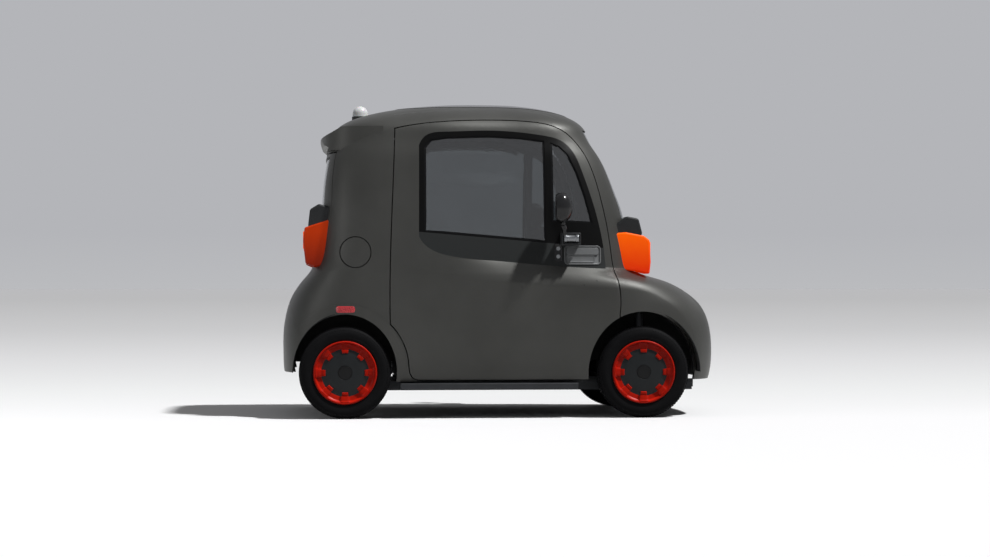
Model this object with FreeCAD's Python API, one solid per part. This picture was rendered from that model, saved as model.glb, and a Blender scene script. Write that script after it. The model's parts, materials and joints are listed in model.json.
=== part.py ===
import FreeCAD, Part
import math
import os

V = FreeCAD.Vector
UP = V(0, 0, 1)
ACROSS = V(0, 1, 0)

# Millimetres. +X forward, +Y left, +Z up, origin on the ground under the middle of the body.
LENGTH = 2572.0
HALF_WIDTH = 690.0
WALL = 40.0
PLAN_STEPS = 36

WHEELBASE = 1734.0
FRONT_AXLE_X = 810.0
REAR_AXLE_X = FRONT_AXLE_X - WHEELBASE
TYRE_R = 266.5
TYRE_WIDTH = 145.0
TYRE_SIDES = 72
RIM_R = 165.0
WHEEL_Y = 610.0

SHUT_GAP = 6.0
SEAT_GAP = 0.3
RUN_FIT = 0.05
DOOR_DRAFT = 0.0002
DOOR_HINGE_X = -666.0

RAIL_Y = (300.0, 350.0)
TOW_EYE = V(1190, 0, 175)
TOW_BORE_R = 15.0

KINGPIN_LEAN = math.radians(12.0)
KINGPIN_GROUND_Y = 600.0
SPINDLE_R = 17.0
KINGPIN_R = 9.0

FRONT_ARCH = (322.0, 352.0)
REAR_ARCH = (300.0, 336.0)
# Bonnet lid: back edge, front edge, half width. Flap: centre x, z and radius. Dome: x, foot height, radius,
# top. Handle: x and z limits. Mirror head: centre, plan radius and half height. Grip: ring and bar radius.
BONNET = (840.0, 1085.0, 430.0)
FLAP = (-864.0, 962.0, 92.0)
DOME = (-820.0, 1787.0, 49.0, 1858.0)
HANDLE = (349, 559, 894, 999)
MIRROR_AT = V(320, -762, 1218)
MIRROR_REACH = (63.0, 90.0)
COLUMN_FOOT = V(520, 290, 800)
COLUMN_AXIS = V(-math.cos(math.radians(28)), 0, math.sin(math.radians(28)))
GRIP = (175.0, 15.0)
RACK_X, RACK_R = 690.0, 18.0
FLOOR_Z = 205.0
FLOOR_T = 24.0
BOOT_Z = 614.0

# Plan sections of the body: height, tail inset, nose inset, side inset, corner squareness.
SECTIONS = [
    (205, 23, 23, 48, 5.0), (260, 7, 8, 28, 5.0), (350, 1, 0, 10, 5.0), (440, 0, 2, 2, 5.0),
    (520, 4, 13, 0, 5.0), (600, 17, 38, 0, 5.0), (665, 35, 79, 0, 5.0), (715, 57, 135, 1, 5.0),
    (760, 85, 207, 2, 5.2), (795, 111, 285, 3, 5.4), (820, 133, 370, 4, 5.6), (840, 150, 435, 5, 5.8),
    (860, 164, 473, 7, 6.0), (900, 183, 491, 10, 6.0), (960, 199, 500, 15, 6.0), (1060, 210, 513, 25, 6.0),
    (1140, 216, 525, 34, 6.0), (1240, 223, 550, 47, 6.0), (1340, 230, 588, 61, 6.0),
    (1450, 243, 630, 79, 5.8), (1546, 261, 678, 99, 5.5), (1627, 284, 728, 123, 5.2),
]

# The roof crown, a quarter-ellipse from the last wall section: start and end of height and insets.
CROWN_Z = (1660.0, 1856.0)
CROWN_INSETS = [(298.0, 1150.0), (752.0, 1310.0), (134.0, 600.0), (5.0, 2.6)]
for step in range(1, 9):
    lean = math.radians(11.0 * step)
    row = [low + (high - low) * (1 - math.cos(lean)) for low, high in CROWN_INSETS]
    SECTIONS.append(tuple([CROWN_Z[0] + (CROWN_Z[1] - CROWN_Z[0]) * math.sin(lean)] + row))

DOOR_TOP = [(-633, 1686), (-486, 1714), (-311, 1731), (-76, 1739), (159, 1731), (276, 1713), (362, 1680),
            (437, 1621), (494, 1544), (549, 1415), (593, 1239), (625, 1081), (657, 863), (668, 806)]
DOOR_REAR = [(-504, 224), (-533, 236), (-550, 265), (-558, 324), (-571, 392), (-605, 469), (-639, 519),
             (-664, 545)]
DOOR_BACK = [(-664, 545), (-663, 917), (-650, 1264), (-633, 1686)]
SURROUND = [(-498, 1055), (-494, 1587), (-441, 1651), (-334, 1667), (-91, 1675), (103, 1665), (248, 1646),
            (345, 1617), (403, 1563), (458, 1445), (504, 1309), (550, 1145), (592, 868), (275, 884),
            (-53, 912), (-293, 936), (-389, 960), (-456, 998)]
MAIN_GLASS = [(-466, 1082), (-464, 1575), (-425, 1622), (-330, 1637), (-91, 1645), (100, 1636), (240, 1617),
              (240, 1022)]
QUARTER_GLASS = [(276, 1607), (330, 1586), (378, 1540), (430, 1432), (474, 1300), (518, 1130), (276, 1142)]
ROOF_SEAM = [(-634, 1775), (-484, 1792), (-308, 1803), (-73, 1809), (104, 1803), (251, 1783), (330, 1752),
             (400, 1715), (470, 1704)]
GATE_EDGE = [(-971, 1548), (-993, 1390), (-1010, 1177), (-1016, 1141), (-1045, 985), (-1102, 876),
             (-1199, 744), (-1245, 658)]

FRONT_POD = [(640, 868), (640, 1076), (722, 1082), (828, 1062), (862, 1036), (869, 908), (861, 836), (770, 856)]
FRONT_CAP = [(660, 1060), (660, 1130), (728, 1176), (798, 1164), (826, 1056)]
REAR_POD = [(-1166, 1030), (-1157, 1108), (-1000, 1158), (-960, 1150), (-985, 900), (-1100, 876), (-1152, 900)]
REAR_CAP = [(-1139, 1100), (-1126, 1214), (-1074, 1246), (-1000, 1226), (-960, 1100)]
VISOR = [(-700, 1562), (-1024, 1562), (-1018, 1582), (-1046, 1600), (-1062, 1640), (-1000, 1668), (-940, 1700),
         (-700, 1700)]


def curve(points):
    """One smooth edge through the points, or a straight one through two."""
    if len(points) == 2:
        return Part.makeLine(points[0], points[1])
    spline = Part.BSplineCurve()
    spline.interpolate(points)
    return spline.toShape()


def side_wire(runs, y):
    """A closed side-view outline at y, one edge for each run of (x, z) points."""
    return Part.Wire([curve([V(x, y, z) for x, z in run]) for run in runs])


def slab(runs, y0, y1):
    """The side-view outline made solid from y0 to y1."""
    face = Part.Face(side_wire(runs, y0))
    return face.extrude(V(0, y1 - y0, 0))


def closed(points):
    """Straight runs round a polygon."""
    return [[points[i], points[(i + 1) % len(points)]] for i in range(len(points))]


def block(x0, x1, y0, y1, z0, z1, edge=0.0, along="y"):
    """A box between limits; edge rounds the four edges that run along the named direction."""
    box = Part.makeBox(x1 - x0, y1 - y0, z1 - z0, V(x0, y0, z0))
    if not edge:
        return box
    runs = [e for e in box.Edges if abs(getattr(e.tangentAt(e.FirstParameter), along)) > 0.9]
    return box.makeFillet(edge, runs)


def rod(r, start, end):
    """A round bar between two points."""
    along = end.sub(start)
    return Part.makeCylinder(r, along.Length, start, along)


def tube(r_out, r_in, start, end):
    return rod(r_out, start, end).cut(rod(r_in, start, end))


def mirrored(shape):
    """The same shape on the other side of the car."""
    return shape.mirror(V(0, 0, 0), ACROSS)


def merged(shapes):
    """One solid from several, its seams cleaned where that keeps it sound."""
    whole = shapes[0].fuse(shapes[1:])
    clean = whole.removeSplitter()
    return clean if clean.isValid() else whole


def both(shape):
    """A right-hand shape and its left-hand twin in one compound."""
    return Part.makeCompound([shape, mirrored(shape)])


def save(name, shape):
    solids = shape.Solids
    out = solids[0] if len(solids) == 1 else Part.makeCompound(solids)
    out.exportStep("parts/" + name + ".step")


def section_at(z):
    """Tail inset, nose inset, side inset and squareness of the body at any height."""
    for low, high in zip(SECTIONS, SECTIONS[1:]):
        if z <= high[0]:
            t = max(0.0, (z - low[0]) / float(high[0] - low[0]))
            return [low[i] + t * (high[i] - low[i]) for i in (1, 2, 3, 4)]
    return list(SECTIONS[-1][1:])


def plan_points(z, tail, nose, side, square, depth):
    """A rounded, slightly bow-ended plan outline, pulled in and down by depth, its last point its first."""
    x_back = -LENGTH / 2 + tail + depth
    x_front = LENGTH / 2 - nose - depth
    middle = (x_back + x_front) / 2
    reach = (x_front - x_back) / 2
    width = HALF_WIDTH - side - depth
    bow = 30.0 * 2 * reach / LENGTH
    points = []
    for i in range(PLAN_STEPS + 1):
        angle = 2 * math.pi * (i % PLAN_STEPS) / PLAN_STEPS
        c, s = math.cos(angle), math.sin(angle)
        r = (abs(c) ** square + abs(s) ** square) ** (-1.0 / square)
        u, v = r * c, r * s
        x = middle + reach * u - (bow if u > 0 else -0.5 * bow) * abs(u) * v * v
        points.append(V(x, width * v * (1 - 0.02 * u * u), z - depth))
    return points


def corner_y(x, z):
    """Where the body's rear corner crosses a lengthwise station at a height: half width there."""
    tail, nose, side, square = section_at(z)
    middle, reach = (tail - nose) / 2, (LENGTH - tail - nose) / 2
    width = HALF_WIDTH - side
    u = min(0.9999, (middle - x) / reach)
    for _ in range(20):
        v = (1 - u ** square) ** (1 / square)
        u = min(0.9999, (middle - x + 30.0 * reach / LENGTH * u * v * v) / reach)
    return width * v * (1 - 0.02 * u * u)


def skinned(rows, depth=0):
    """One smooth solid through the plan sections, its skin set in by depth."""
    skin = Part.BSplineSurface()
    skin.interpolate([plan_points(*row, depth) for row in rows])
    wall = skin.toShape()
    rims = [e for e in wall.Edges if e.BoundBox.ZLength < 0.01]
    skin = Part.makeCompound([wall] + [Part.Face(Part.Wire([rim])) for rim in rims])
    skin.sewShape()
    solid = Part.Solid(skin.Shells[0])
    return solid if solid.Volume > 0 else solid.reversed()


def lining_form(depth):
    """The inside of the body: the same plan in fewer, straight-sided steps."""
    rows = SECTIONS[0:1] + SECTIONS[2::2] + SECTIONS[-1:]
    wires = [Part.makePolygon(plan_points(*row, depth)) for row in rows]
    return Part.makeLoft(wires, True, True)


def grown(points, gap):
    """The closed outline moved outward by gap, corners mitred."""
    count = len(points)
    area = sum(points[i][0] * points[(i + 1) % count][1] - points[(i + 1) % count][0] * points[i][1]
               for i in range(count))
    sign = 1.0 if area > 0 else -1.0
    out = []
    for i in range(count):
        (xa, za), (xb, zb), (xc, zc) = points[i - 1], points[i], points[(i + 1) % count]
        la, lb = math.hypot(xb - xa, zb - za), math.hypot(xc - xb, zc - zb)
        na = ((zb - za) / la, -(xb - xa) / la)
        nb = ((zc - zb) / lb, -(xc - xb) / lb)
        dot = max(0.2, 1 + na[0] * nb[0] + na[1] * nb[1])
        out.append((xb + sign * gap * (na[0] + nb[0]) / dot, zb + sign * gap * (na[1] + nb[1]) / dot))
    return out


def door_plug(gap, floor_z):
    """The door opening as a plug that narrows inward, so the swinging edge leaves it at once."""
    outline = DOOR_REAR + DOOR_BACK[1:] + DOOR_TOP[1:] + [(674, 606), (674, floor_z), (-504, floor_z)]
    outline = grown(outline, gap)
    outline[-1] = (outline[0][0], floor_z)
    outline[-2] = (outline[-3][0], floor_z)
    ends = [0, len(DOOR_REAR) - 1, len(DOOR_REAR) + len(DOOR_BACK) - 2]
    ends += [ends[-1] + len(DOOR_TOP), len(outline) - 2, len(outline) - 1]
    wires = []
    for y in (-HALF_WIDTH - 30, -HALF_WIDTH + 270):
        placed = []
        for x, z in outline:
            skin = section_at(z)[2] - HALF_WIDTH
            scale = (1 - DOOR_DRAFT * (y + HALF_WIDTH + 30)) / (1 - DOOR_DRAFT * (skin + HALF_WIDTH + 30))
            placed.append((DOOR_HINGE_X + (x - DOOR_HINGE_X) * scale, z))
        runs = [placed[a:b + 1] for a, b in zip(ends, ends[1:])] + [[placed[-1], placed[0]]]
        wires.append(side_wire(runs, y))
    return Part.makeLoft(wires, True, True)


def arch_slab(x, radii, y0, y1, grow=0.0):
    """An upright elliptical wheel-arch cutter round an axle."""
    a, b = radii[0] + grow, radii[1] + grow
    ring = Part.Ellipse(V(x, y0, TYRE_R + b), V(x + a, y0, TYRE_R), V(x, y0, TYRE_R))
    face = Part.Face(Part.Wire([ring.toShape()]))
    return face.extrude(V(0, y1 - y0, 0))


def turned(profile, x, side, y=WHEEL_Y):
    """A wheel piece: (out, r) points spun about the axle line; out is measured outboard of y."""
    points = [V(x, side * (y + out), TYRE_R + r) for out, r in profile]
    face = Part.Face(Part.makePolygon(points + points[:1]))
    return face.revolve(V(x, 0, TYRE_R), ACROSS, 360)


def kingpin(side, z):
    """The point of the steering axis at a height; side is -1 right, +1 left."""
    return V(FRONT_AXLE_X, side * (KINGPIN_GROUND_Y - z * math.tan(KINGPIN_LEAN)), z)


os.makedirs("parts", exist_ok=True)

# Body shell, cut from one form so neighbouring panels share their surface.
form = skinned(SECTIONS)
lining = lining_form(WALL)
shell = form.cut(lining)
plug_hole = door_plug(SHUT_GAP / 2, 150)
plug_door = door_plug(-SHUT_GAP / 2, 150)
front_arch = arch_slab(FRONT_AXLE_X, FRONT_ARCH, -HALF_WIDTH - 20, -370)
rear_arch = arch_slab(REAR_AXLE_X, REAR_ARCH, -HALF_WIDTH - 20, -370)
cutters = [plug_hole, mirrored(plug_hole), front_arch, mirrored(front_arch)]

screen_hole = [(-545, 845), (-530, 905), (-490, 1300), (-400, 1690), (400, 1690), (490, 1300), (530, 905),
               (545, 845)]
screen_face = Part.Face(Part.makePolygon([V(0, y, z) for y, z in screen_hole + screen_hole[:1]]))
screen_cut = screen_face.extrude(V(1300, 0, 0))

front = shell.common(block(480, 1320, -720, 720, 217, 852)).cut(cutters)


def lid_prism(gap):
    """The bonnet lid outline; its front edge slopes back so it lifts clear of the nose."""
    x0, y1 = BONNET[0] - gap, BONNET[2] + gap
    wires = []
    for z, slope in ((920, 124), (620, -101)):
        x1 = BONNET[1] + slope + gap
        corners = [V(x0, -y1, z), V(x1, -y1, z), V(x1, y1, z), V(x0, y1, z)]
        wires.append(Part.makePolygon(corners + corners[:1]))
    return Part.makeLoft(wires, True, True)


bonnet = front.common(lid_prism(-SHUT_GAP / 2))
save("bonnet_lid", bonnet)
over_ledge = lid_prism(SHUT_GAP / 2).cut(lining_form(WALL + SEAT_GAP))
ledge = block(880, 1000, -480, 480, 560, 900).common(lining_form(WALL - 5))
ledge = ledge.cut([lining_form(WALL + 14), over_ledge])
save("front_body", front.cut(lid_prism(SHUT_GAP / 2)).fuse(ledge))

above_seam = closed([(-1400, 1578), (-958, 1579), (-634, 1562)])[:2]
above_seam += [[(-634, 1562), (-634, 1775)], ROOF_SEAM, [(470, 1704), (900, 1704)],
               [(900, 1704), (900, 1900)], [(900, 1900), (-1400, 1900)], [(-1400, 1900), (-1400, 1578)]]
roof_zone = slab(above_seam, -720, 720).fuse(block(-640, 900, -395, 395, 1690 + SEAT_GAP, 1900))
roof = shell.common(roof_zone).cut([plug_hole, mirrored(plug_hole)])

side_zone = block(-634, 790, -720, -395, 852, 1812)
side_frame = shell.common(side_zone).cut([roof_zone, plug_hole, screen_cut])
save("side_frames", both(side_frame))


def gate_slab(gap):
    """The tailgate outline seen from behind, grown by gap and carried through the back of the body."""
    edge = [(corner_y(x, z), z) for x, z in GATE_EDGE]
    ring = grown(edge + [(-y, z) for y, z in reversed(edge)], gap)
    half = len(edge)
    runs = [ring[:half], ring[half - 1:half + 1], ring[half:], [ring[-1], ring[0]]]
    wire = Part.Wire([curve([V(-1400, y, z) for y, z in run]) for run in runs])
    return Part.Face(wire).extrude(V(620, 0, 0))


bumper_line = [(-1245, 655), (-1180, 441), (-1140, 262), (-1400, 262), (-1400, 655)]
bumper_zone = slab(closed(bumper_line), -720, 720)
quarter_zone = block(-1300, -480, -720, 0, 214, 1580)
quarter = shell.common(quarter_zone)
quarter = quarter.cut([roof_zone, plug_hole, gate_slab(SHUT_GAP / 2), rear_arch,
                       slab(closed(grown(bumper_line, 0.5)), -720, 720)])
quarter = quarter.cut(block(-1320, -1130, -720, 0, 200, 300))
lip_band = skinned(SECTIONS, -8).cut(lining)
lip_ring = arch_slab(REAR_AXLE_X, REAR_ARCH, -720, -400, 58).cut(arch_slab(REAR_AXLE_X, REAR_ARCH, -720, -400))
lip_zone = block(-1232, -480, -720, -480, 300, 700)
lip = lip_band.common(lip_ring).common(lip_zone).cut([door_plug(SHUT_GAP / 2, 150)])
quarter = quarter.fuse(lip.cut(slab(closed(grown(bumper_line, 0.5)), -720, 720)))
save("rear_quarter_left", mirrored(quarter))
gate = shell.common(gate_slab(-SHUT_GAP / 2))
bumper = shell.common(bumper_zone).cut([rear_arch, mirrored(rear_arch)])
save("rear_bumper", bumper)

# Fuel flap in the right rear quarter.
flap_bore = Part.makeCylinder(FLAP[2], 200, V(FLAP[0], -740, FLAP[1]), ACROSS)
flap_round = Part.makeCylinder(FLAP[2] - 5.5, 200, V(FLAP[0], -740, FLAP[1]), ACROSS)
skin_form = skinned(SECTIONS, 10)
flap = quarter.common(flap_round).cut(skin_form)
save("fuel_flap", flap)
stop_post = rod(14, V(FLAP[0], -500, FLAP[1]), V(FLAP[0], -740, FLAP[1]))
stop_post = stop_post.common(skinned(SECTIONS, 10 + SEAT_GAP))
pocket = flap_bore.cut(lining_form(28)).cut(stop_post)
save("rear_quarter_right", quarter.cut(pocket))

# Doors.
door = shell.common(plug_door).common(block(-700, 700, -720, 0, 224, 1800)).cut(front_arch)
surround_slab = slab(closed(SURROUND[:2])[:1] + [SURROUND[1:13], SURROUND[12:18] + SURROUND[:1]], -720, -400)
main_slab = slab(closed(MAIN_GLASS), -720, -400)
quarter_slab = slab(closed(QUARTER_GLASS), -720, -400)
door_panel = door.cut(surround_slab)
recess = block(HANDLE[0], HANDLE[1], -720, -600, HANDLE[2], HANDLE[3]).cut(skinned(SECTIONS, 14))
bar = block(HANDLE[0] + 12, HANDLE[1] - 12, -720, -600, HANDLE[3] - 48, HANDLE[3] - 14)
bar = bar.cut(skinned(SECTIONS, 14)).common(skinned(SECTIONS, -2))
flap_plate = block(HANDLE[0] + 30, HANDLE[1] - 30, -720, -600, HANDLE[2] + 10, HANDLE[2] + 44)
flap_plate = flap_plate.cut(skinned(SECTIONS, 14)).common(skinned(SECTIONS, 8))
surround = door.common(surround_slab).cut([main_slab, quarter_slab, recess]).fuse([bar, flap_plate])
glass_band = skinned(SECTIONS, 6).cut(skinned(SECTIONS, 11))
glass_side = glass_band.common(block(-520, 620, -720, -400, 1000, 1700))
door_glass = Part.makeCompound([glass_side.common(main_slab), glass_side.common(quarter_slab)])
for side, name in ((-1, "right"), (1, "left")):
    pieces = {"door_panel_": door_panel, "door_surround_": surround, "door_glass_": door_glass}
    for label, shape in pieces.items():
        save(label + name, shape if side < 0 else mirrored(shape))

save("windscreen", glass_band.common(screen_cut).common(block(0, 1300, -700, 700, 853, 1690)))
gate_glass_y = [(-430, 1185), (-400, 1525), (400, 1525), (430, 1185)]
gate_face = Part.Face(Part.makePolygon([V(-1300, y, z) for y, z in gate_glass_y + gate_glass_y[:1]]))
gate_cut = gate_face.extrude(V(700, 0, 0))
save("tailgate_panel", gate.cut(gate_cut))
save("tailgate_glass", glass_band.common(gate_cut))

# Visor over the rear window: its side outline within the roof's plan, drawn out at the tail.
visor_plan = plan_points(1500, LENGTH / 2 + VISOR[4][0], 900, 140, 5.0, 0)
visor_plan = Part.Face(Part.Wire([curve(visor_plan)])).extrude(V(0, 0, 300))
visor = slab(closed(VISOR), -600, 600).common(visor_plan).cut(form)
save("roof_panel", roof.fuse(visor))

# Frame and floor.
toe_board = block(452, 464, -588, 588, FLOOR_Z, 700)
floor = merged([toe_board, block(-600, 452, -588, 588, FLOOR_Z, FLOOR_Z + FLOOR_T),
                block(440, 655, -350, 350, FLOOR_Z, FLOOR_Z + FLOOR_T)])
save("floor_platform", floor)
boot = block(-1230, -600, -660, 660, BOOT_Z, BOOT_Z + 16).common(lining_form(WALL + SEAT_GAP))
bulkhead = block(-616, -600, -588, 588, FLOOR_Z + FLOOR_T, BOOT_Z)
save("boot_floor", boot.fuse(bulkhead))
rail = block(-1150, 1150, -RAIL_Y[1], -RAIL_Y[0], 150, FLOOR_Z - SEAT_GAP)
sill = block(-604, 428, -672, -590, 167, FLOOR_Z - SEAT_GAP, 6, "x")
outriggers = [block(x, x + 50, -590 + SEAT_GAP, -RAIL_Y[1] - SEAT_GAP, 175, 200) for x in (-560, 330)]
side_bars = both(Part.makeCompound([rail, sill] + outriggers)).Solids
inner = RAIL_Y[0] - SEAT_GAP
crossbars = [block(x, x + 50, -inner, inner, 155, 200) for x in (-1150, -640, -60, 430)]
nose_bar = block(1100, 1150, -inner, inner, 155, 200)
tow_lug = block(1140, TOW_EYE.x + 28, -6, 6, TOW_EYE.z - 25, TOW_EYE.z + 25)
tow_hole = rod(TOW_BORE_R, TOW_EYE.sub(V(0, 20, 0)), TOW_EYE.add(V(0, 20, 0)))
save("chassis_frame", Part.makeCompound(side_bars + crossbars + [merged([nose_bar, tow_lug]).cut(tow_hole)]))
save("battery_block", block(-540, -60, -520, 520, FLOOR_Z + FLOOR_T + SEAT_GAP, 410, 12, "z"))

# Rear axle with its drive unit; the spindles carry the rear wheels.
hub = V(REAR_AXLE_X, 0, TYRE_R)
axle = [rod(34, V(REAR_AXLE_X, -520, TYRE_R), V(REAR_AXLE_X, 520, TYRE_R))]
for side in (-1, 1):
    axle.append(rod(46, V(REAR_AXLE_X, side * 500, TYRE_R), V(REAR_AXLE_X, side * 545, TYRE_R)))
    axle.append(rod(SPINDLE_R, V(REAR_AXLE_X, side * 540, TYRE_R), V(REAR_AXLE_X, side * 640, TYRE_R)))
    axle.append(block(REAR_AXLE_X - 5, -640, *sorted((side * RAIL_Y[0], side * RAIL_Y[1])), 247, 287))
axle.append(block(-1040, -800, -150, 150, 216, 440, 30))
for side in (-1, 1):
    foot = V(REAR_AXLE_X - 10, side * 430, TYRE_R + 34)
    axle.append(rod(30, foot, V(REAR_AXLE_X + 20, side * 410, 640)))
over_boot = block(-1200, -600, -600, 600, BOOT_Z - SEAT_GAP, 700)
save("rear_axle", merged(axle).cut(over_boot))

# Front suspension and steering, both sides round the leaning kingpins.
arms = []
struts = []
for side in (-1, 1):
    low, high = kingpin(side, 182), kingpin(side, 204)
    eye = rod(22, low, high)
    arm = block(FRONT_AXLE_X - 20, FRONT_AXLE_X + 20, *sorted((side * 350, side * 545)), 182, 200)
    brace = block(FRONT_AXLE_X - 130, FRONT_AXLE_X + 130, *sorted((side * 350, side * 390)), 182, 200)
    arms.append(merged([eye, arm, brace]).cut(rod(KINGPIN_R + RUN_FIT, kingpin(side, 150), kingpin(side, 240))))
    struts.append(merged([rod(10, kingpin(side, 530), kingpin(side, 690)),
                          rod(60, kingpin(side, 690), kingpin(side, 708))]))
save("front_arms", Part.makeCompound(arms))
tower = []
for side in (-1, 1):
    top = kingpin(side, 708)
    tower.append(block(720, 900, *sorted((side * 300, side * 560)), 704, 716))
    tower.append(block(720, 900, *sorted((side * 300, side * 330)), FLOOR_Z + SEAT_GAP, 706))
inside = lining_form(WALL + SEAT_GAP)
towers = [merged(tower[:2] + struts[:1]), merged(tower[2:] + struts[1:])]
save("front_towers", Part.makeCompound([t.common(inside) for t in towers]))
rack_z = FLOOR_Z + RACK_R
rack = [rod(RACK_R, V(RACK_X, -RAIL_Y[1] + 25, rack_z), V(RACK_X, RAIL_Y[1] - 25, rack_z))]
for side in (-1, 1):
    rack.append(rod(8, V(RACK_X, side * (RAIL_Y[1] - 35), rack_z), V(700, side * 505, 214)))
save("steering_rack", merged(rack))
for side, name in ((-1, "right"), (1, "left")):
    centre = V(FRONT_AXLE_X, side * (KINGPIN_GROUND_Y - TYRE_R * math.tan(KINGPIN_LEAN)), TYRE_R)
    pieces = [rod(24, kingpin(side, 214), kingpin(side, 350)),
              rod(KINGPIN_R, kingpin(side, 180), kingpin(side, 230)),
              rod(24, kingpin(side, 340), kingpin(side, 600)),
              rod(40, centre, V(FRONT_AXLE_X, side * 572, TYRE_R)),
              rod(SPINDLE_R, centre, V(FRONT_AXLE_X, side * 640, TYRE_R)),
              rod(9, V(FRONT_AXLE_X, side * 548, 240), V(700, side * 505, 240)),
              Part.makeCylinder(16, 18, V(700, side * 505, 231))]
    knuckle = merged(pieces).cut(rod(10 + RUN_FIT, kingpin(side, 515), kingpin(side, 620)))
    save("knuckle_" + name, knuckle)

# Wheels.
half = TYRE_WIDTH / 2
tread = [(-half, 240), (-50, TYRE_R), (50, TYRE_R), (half, 240)]
bore_r = (RIM_R + SEAT_GAP) / math.cos(math.pi / TYRE_SIDES)
wheel_bore = SPINDLE_R + RUN_FIT
rim = [(-60, RIM_R), (59, RIM_R), (59, 152), (44, 152), (44, 60), (56, 60), (56, 0), (36, 0), (36, wheel_bore),
       (-28, wheel_bore), (-28, 40), (30, 40), (30, 154), (-60, 154)]


def many_sided(r, x, y):
    """A regular polygon standing upright round an axle line."""
    corners = []
    for i in range(TYRE_SIDES + 1):
        angle = 2 * math.pi * (i % TYRE_SIDES) / TYRE_SIDES
        corners.append(V(x + r * math.cos(angle), y, TYRE_R + r * math.sin(angle)))
    return Part.makePolygon(corners)


for x, axle_name in ((FRONT_AXLE_X, "front"), (REAR_AXLE_X, "rear")):
    for side, name in ((-1, "right"), (1, "left")):
        rings = [many_sided(r, x, side * (WHEEL_Y + out)) for out, r in tread]
        core = Part.Face(many_sided(bore_r, x, -WHEEL_Y - 100)).extrude(V(0, 2 * WHEEL_Y + 200, 0))
        save("tyre_%s_%s" % (axle_name, name), Part.makeLoft(rings, True, True).cut(core))
        save("rim_%s_%s" % (axle_name, name), turned(rim, x, side))

# Cabin.
dash = block(452, 700, -620, 620, 700 + SEAT_GAP, 905)
dash = dash.common(lining_form(WALL + SEAT_GAP))
seats = []
for side, name in ((-1, "right"), (1, "left")):
    y0, y1 = sorted((side * 40, side * 520))
    cushion = block(-400, 90, y0, y1, 410 + SEAT_GAP, 560, 30)
    back = block(-110, 0, y0, y1, 0, 640, 30)
    back.rotate(V(0, 0, 0), ACROSS, -14)
    back.translate(V(-330, 0, 520))
    seats.append(merged([cushion, back]))
save("seats", Part.makeCompound(seats))

# Steering wheel on the left, turning about its tilted column.
hub_at = COLUMN_FOOT.add(COLUMN_AXIS * 190)
grip = []
for step in range(7):
    lean = math.radians(60 * step + 30)
    grip.append(hub_at + V(0, GRIP[0] + GRIP[1] * math.cos(lean), 0) + COLUMN_AXIS * (GRIP[1] * math.sin(lean)))
grip = Part.Face(Part.makePolygon(grip))
rim_ring = grip.revolve(hub_at, COLUMN_AXIS, 360)
boss = rod(38, hub_at.sub(COLUMN_AXIS * 40), hub_at.add(COLUMN_AXIS * 12))
column = rod(16, COLUMN_FOOT.add(COLUMN_AXIS * 60), hub_at)
spokes = [rod(11, hub_at, hub_at.add(V(0, 172, 0))), rod(11, hub_at, hub_at.add(V(0, -172, 0)))]
save("steering_wheel", merged([rim_ring, boss, column] + spokes))
shroud = tube(40, 16 + RUN_FIT, COLUMN_FOOT.sub(COLUMN_AXIS * 10), COLUMN_FOOT.add(COLUMN_AXIS * 100))
save("dashboard", dash.cut(rod(40, COLUMN_FOOT.sub(COLUMN_AXIS * 10), COLUMN_FOOT.add(COLUMN_AXIS * 100)))
     .fuse(shroud))

# Lamp pods on the four corners and their black caps.


def pod(outline, y_out, y_in, corner, rim):
    """A lamp housing: corners that run across rounded by corner, its outer rims by rim."""
    body = slab(closed(outline), y_out, y_in)
    ends = max(outline)[0] if outline[0][0] > 0 else min(outline)[0]
    across = [e for e in body.Edges if abs(e.tangentAt(e.FirstParameter).y) > 0.9
              and abs(e.CenterOfMass.x - ends) < 150 and abs(e.CenterOfMass.x - ends) > -1]
    body = body.makeFillet(corner, across)
    rims = [e for e in body.Edges if abs(e.CenterOfMass.y - y_out) < 0.01]
    return body.makeChamfer(rim, rims)


front_pod = pod(FRONT_POD, -572, -430, 12, 8)
front_cap = pod(FRONT_CAP, -560, -442, 22, 8)
rear_pod = pod(REAR_POD, -516, -380, 14, 8)
rear_cap = pod(REAR_CAP, -506, -392, 22, 8)
save("front_lamp_pods", both(front_pod.cut(form)))
save("front_pod_caps", both(front_cap.cut([form, front_pod])))
save("tail_lamp_pods", both(rear_pod.cut(form)))
save("tail_pod_caps", both(rear_cap.cut([form, rear_pod])))

# Door mirrors on a bracket above the handle.
bracket = block(322, 436, -735, -600, 1000, 1076, 9)
stalk = rod(14, V(345, -726, 1060), V(328, -750, 1160))
rings = []
for step in range(1, 10):
    lean = math.pi * step / 10
    r, z = MIRROR_REACH[0] * math.sin(lean), MIRROR_AT.z - MIRROR_REACH[1] * math.cos(lean)
    turns = [math.pi * (i % 20) / 10 for i in range(21)]
    ring = [V(MIRROR_AT.x + r * math.cos(t), MIRROR_AT.y + r * math.sin(t), z) for t in turns]
    rings.append(Part.makePolygon(ring))
head = Part.makeLoft(rings, True, True)
glass_side = block(0, MIRROR_AT.x - 0.55 * MIRROR_REACH[0], -900, -600, 1000, 1400)
mirror = merged([head.cut(glass_side), stalk, bracket]).cut(form)
save("mirror_right", mirror)
save("mirror_left", mirrored(mirror))

dome = [(0, 1740), (DOME[2] + 4, 1740), (DOME[2] + 4, DOME[1]), (DOME[2], DOME[1]), (DOME[2], DOME[1] + 22)]
dome += [(DOME[2] * 0.8, DOME[1] + 50), (DOME[2] * 0.45, DOME[1] + 66), (0, DOME[3])]
dome = Part.Face(Part.makePolygon([V(DOME[0] + r, 0, z) for r, z in dome + dome[:1]]))
dome = dome.revolve(V(DOME[0], 0, 0), UP, 360)
save("antenna_dome", dome.cut(form))
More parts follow.
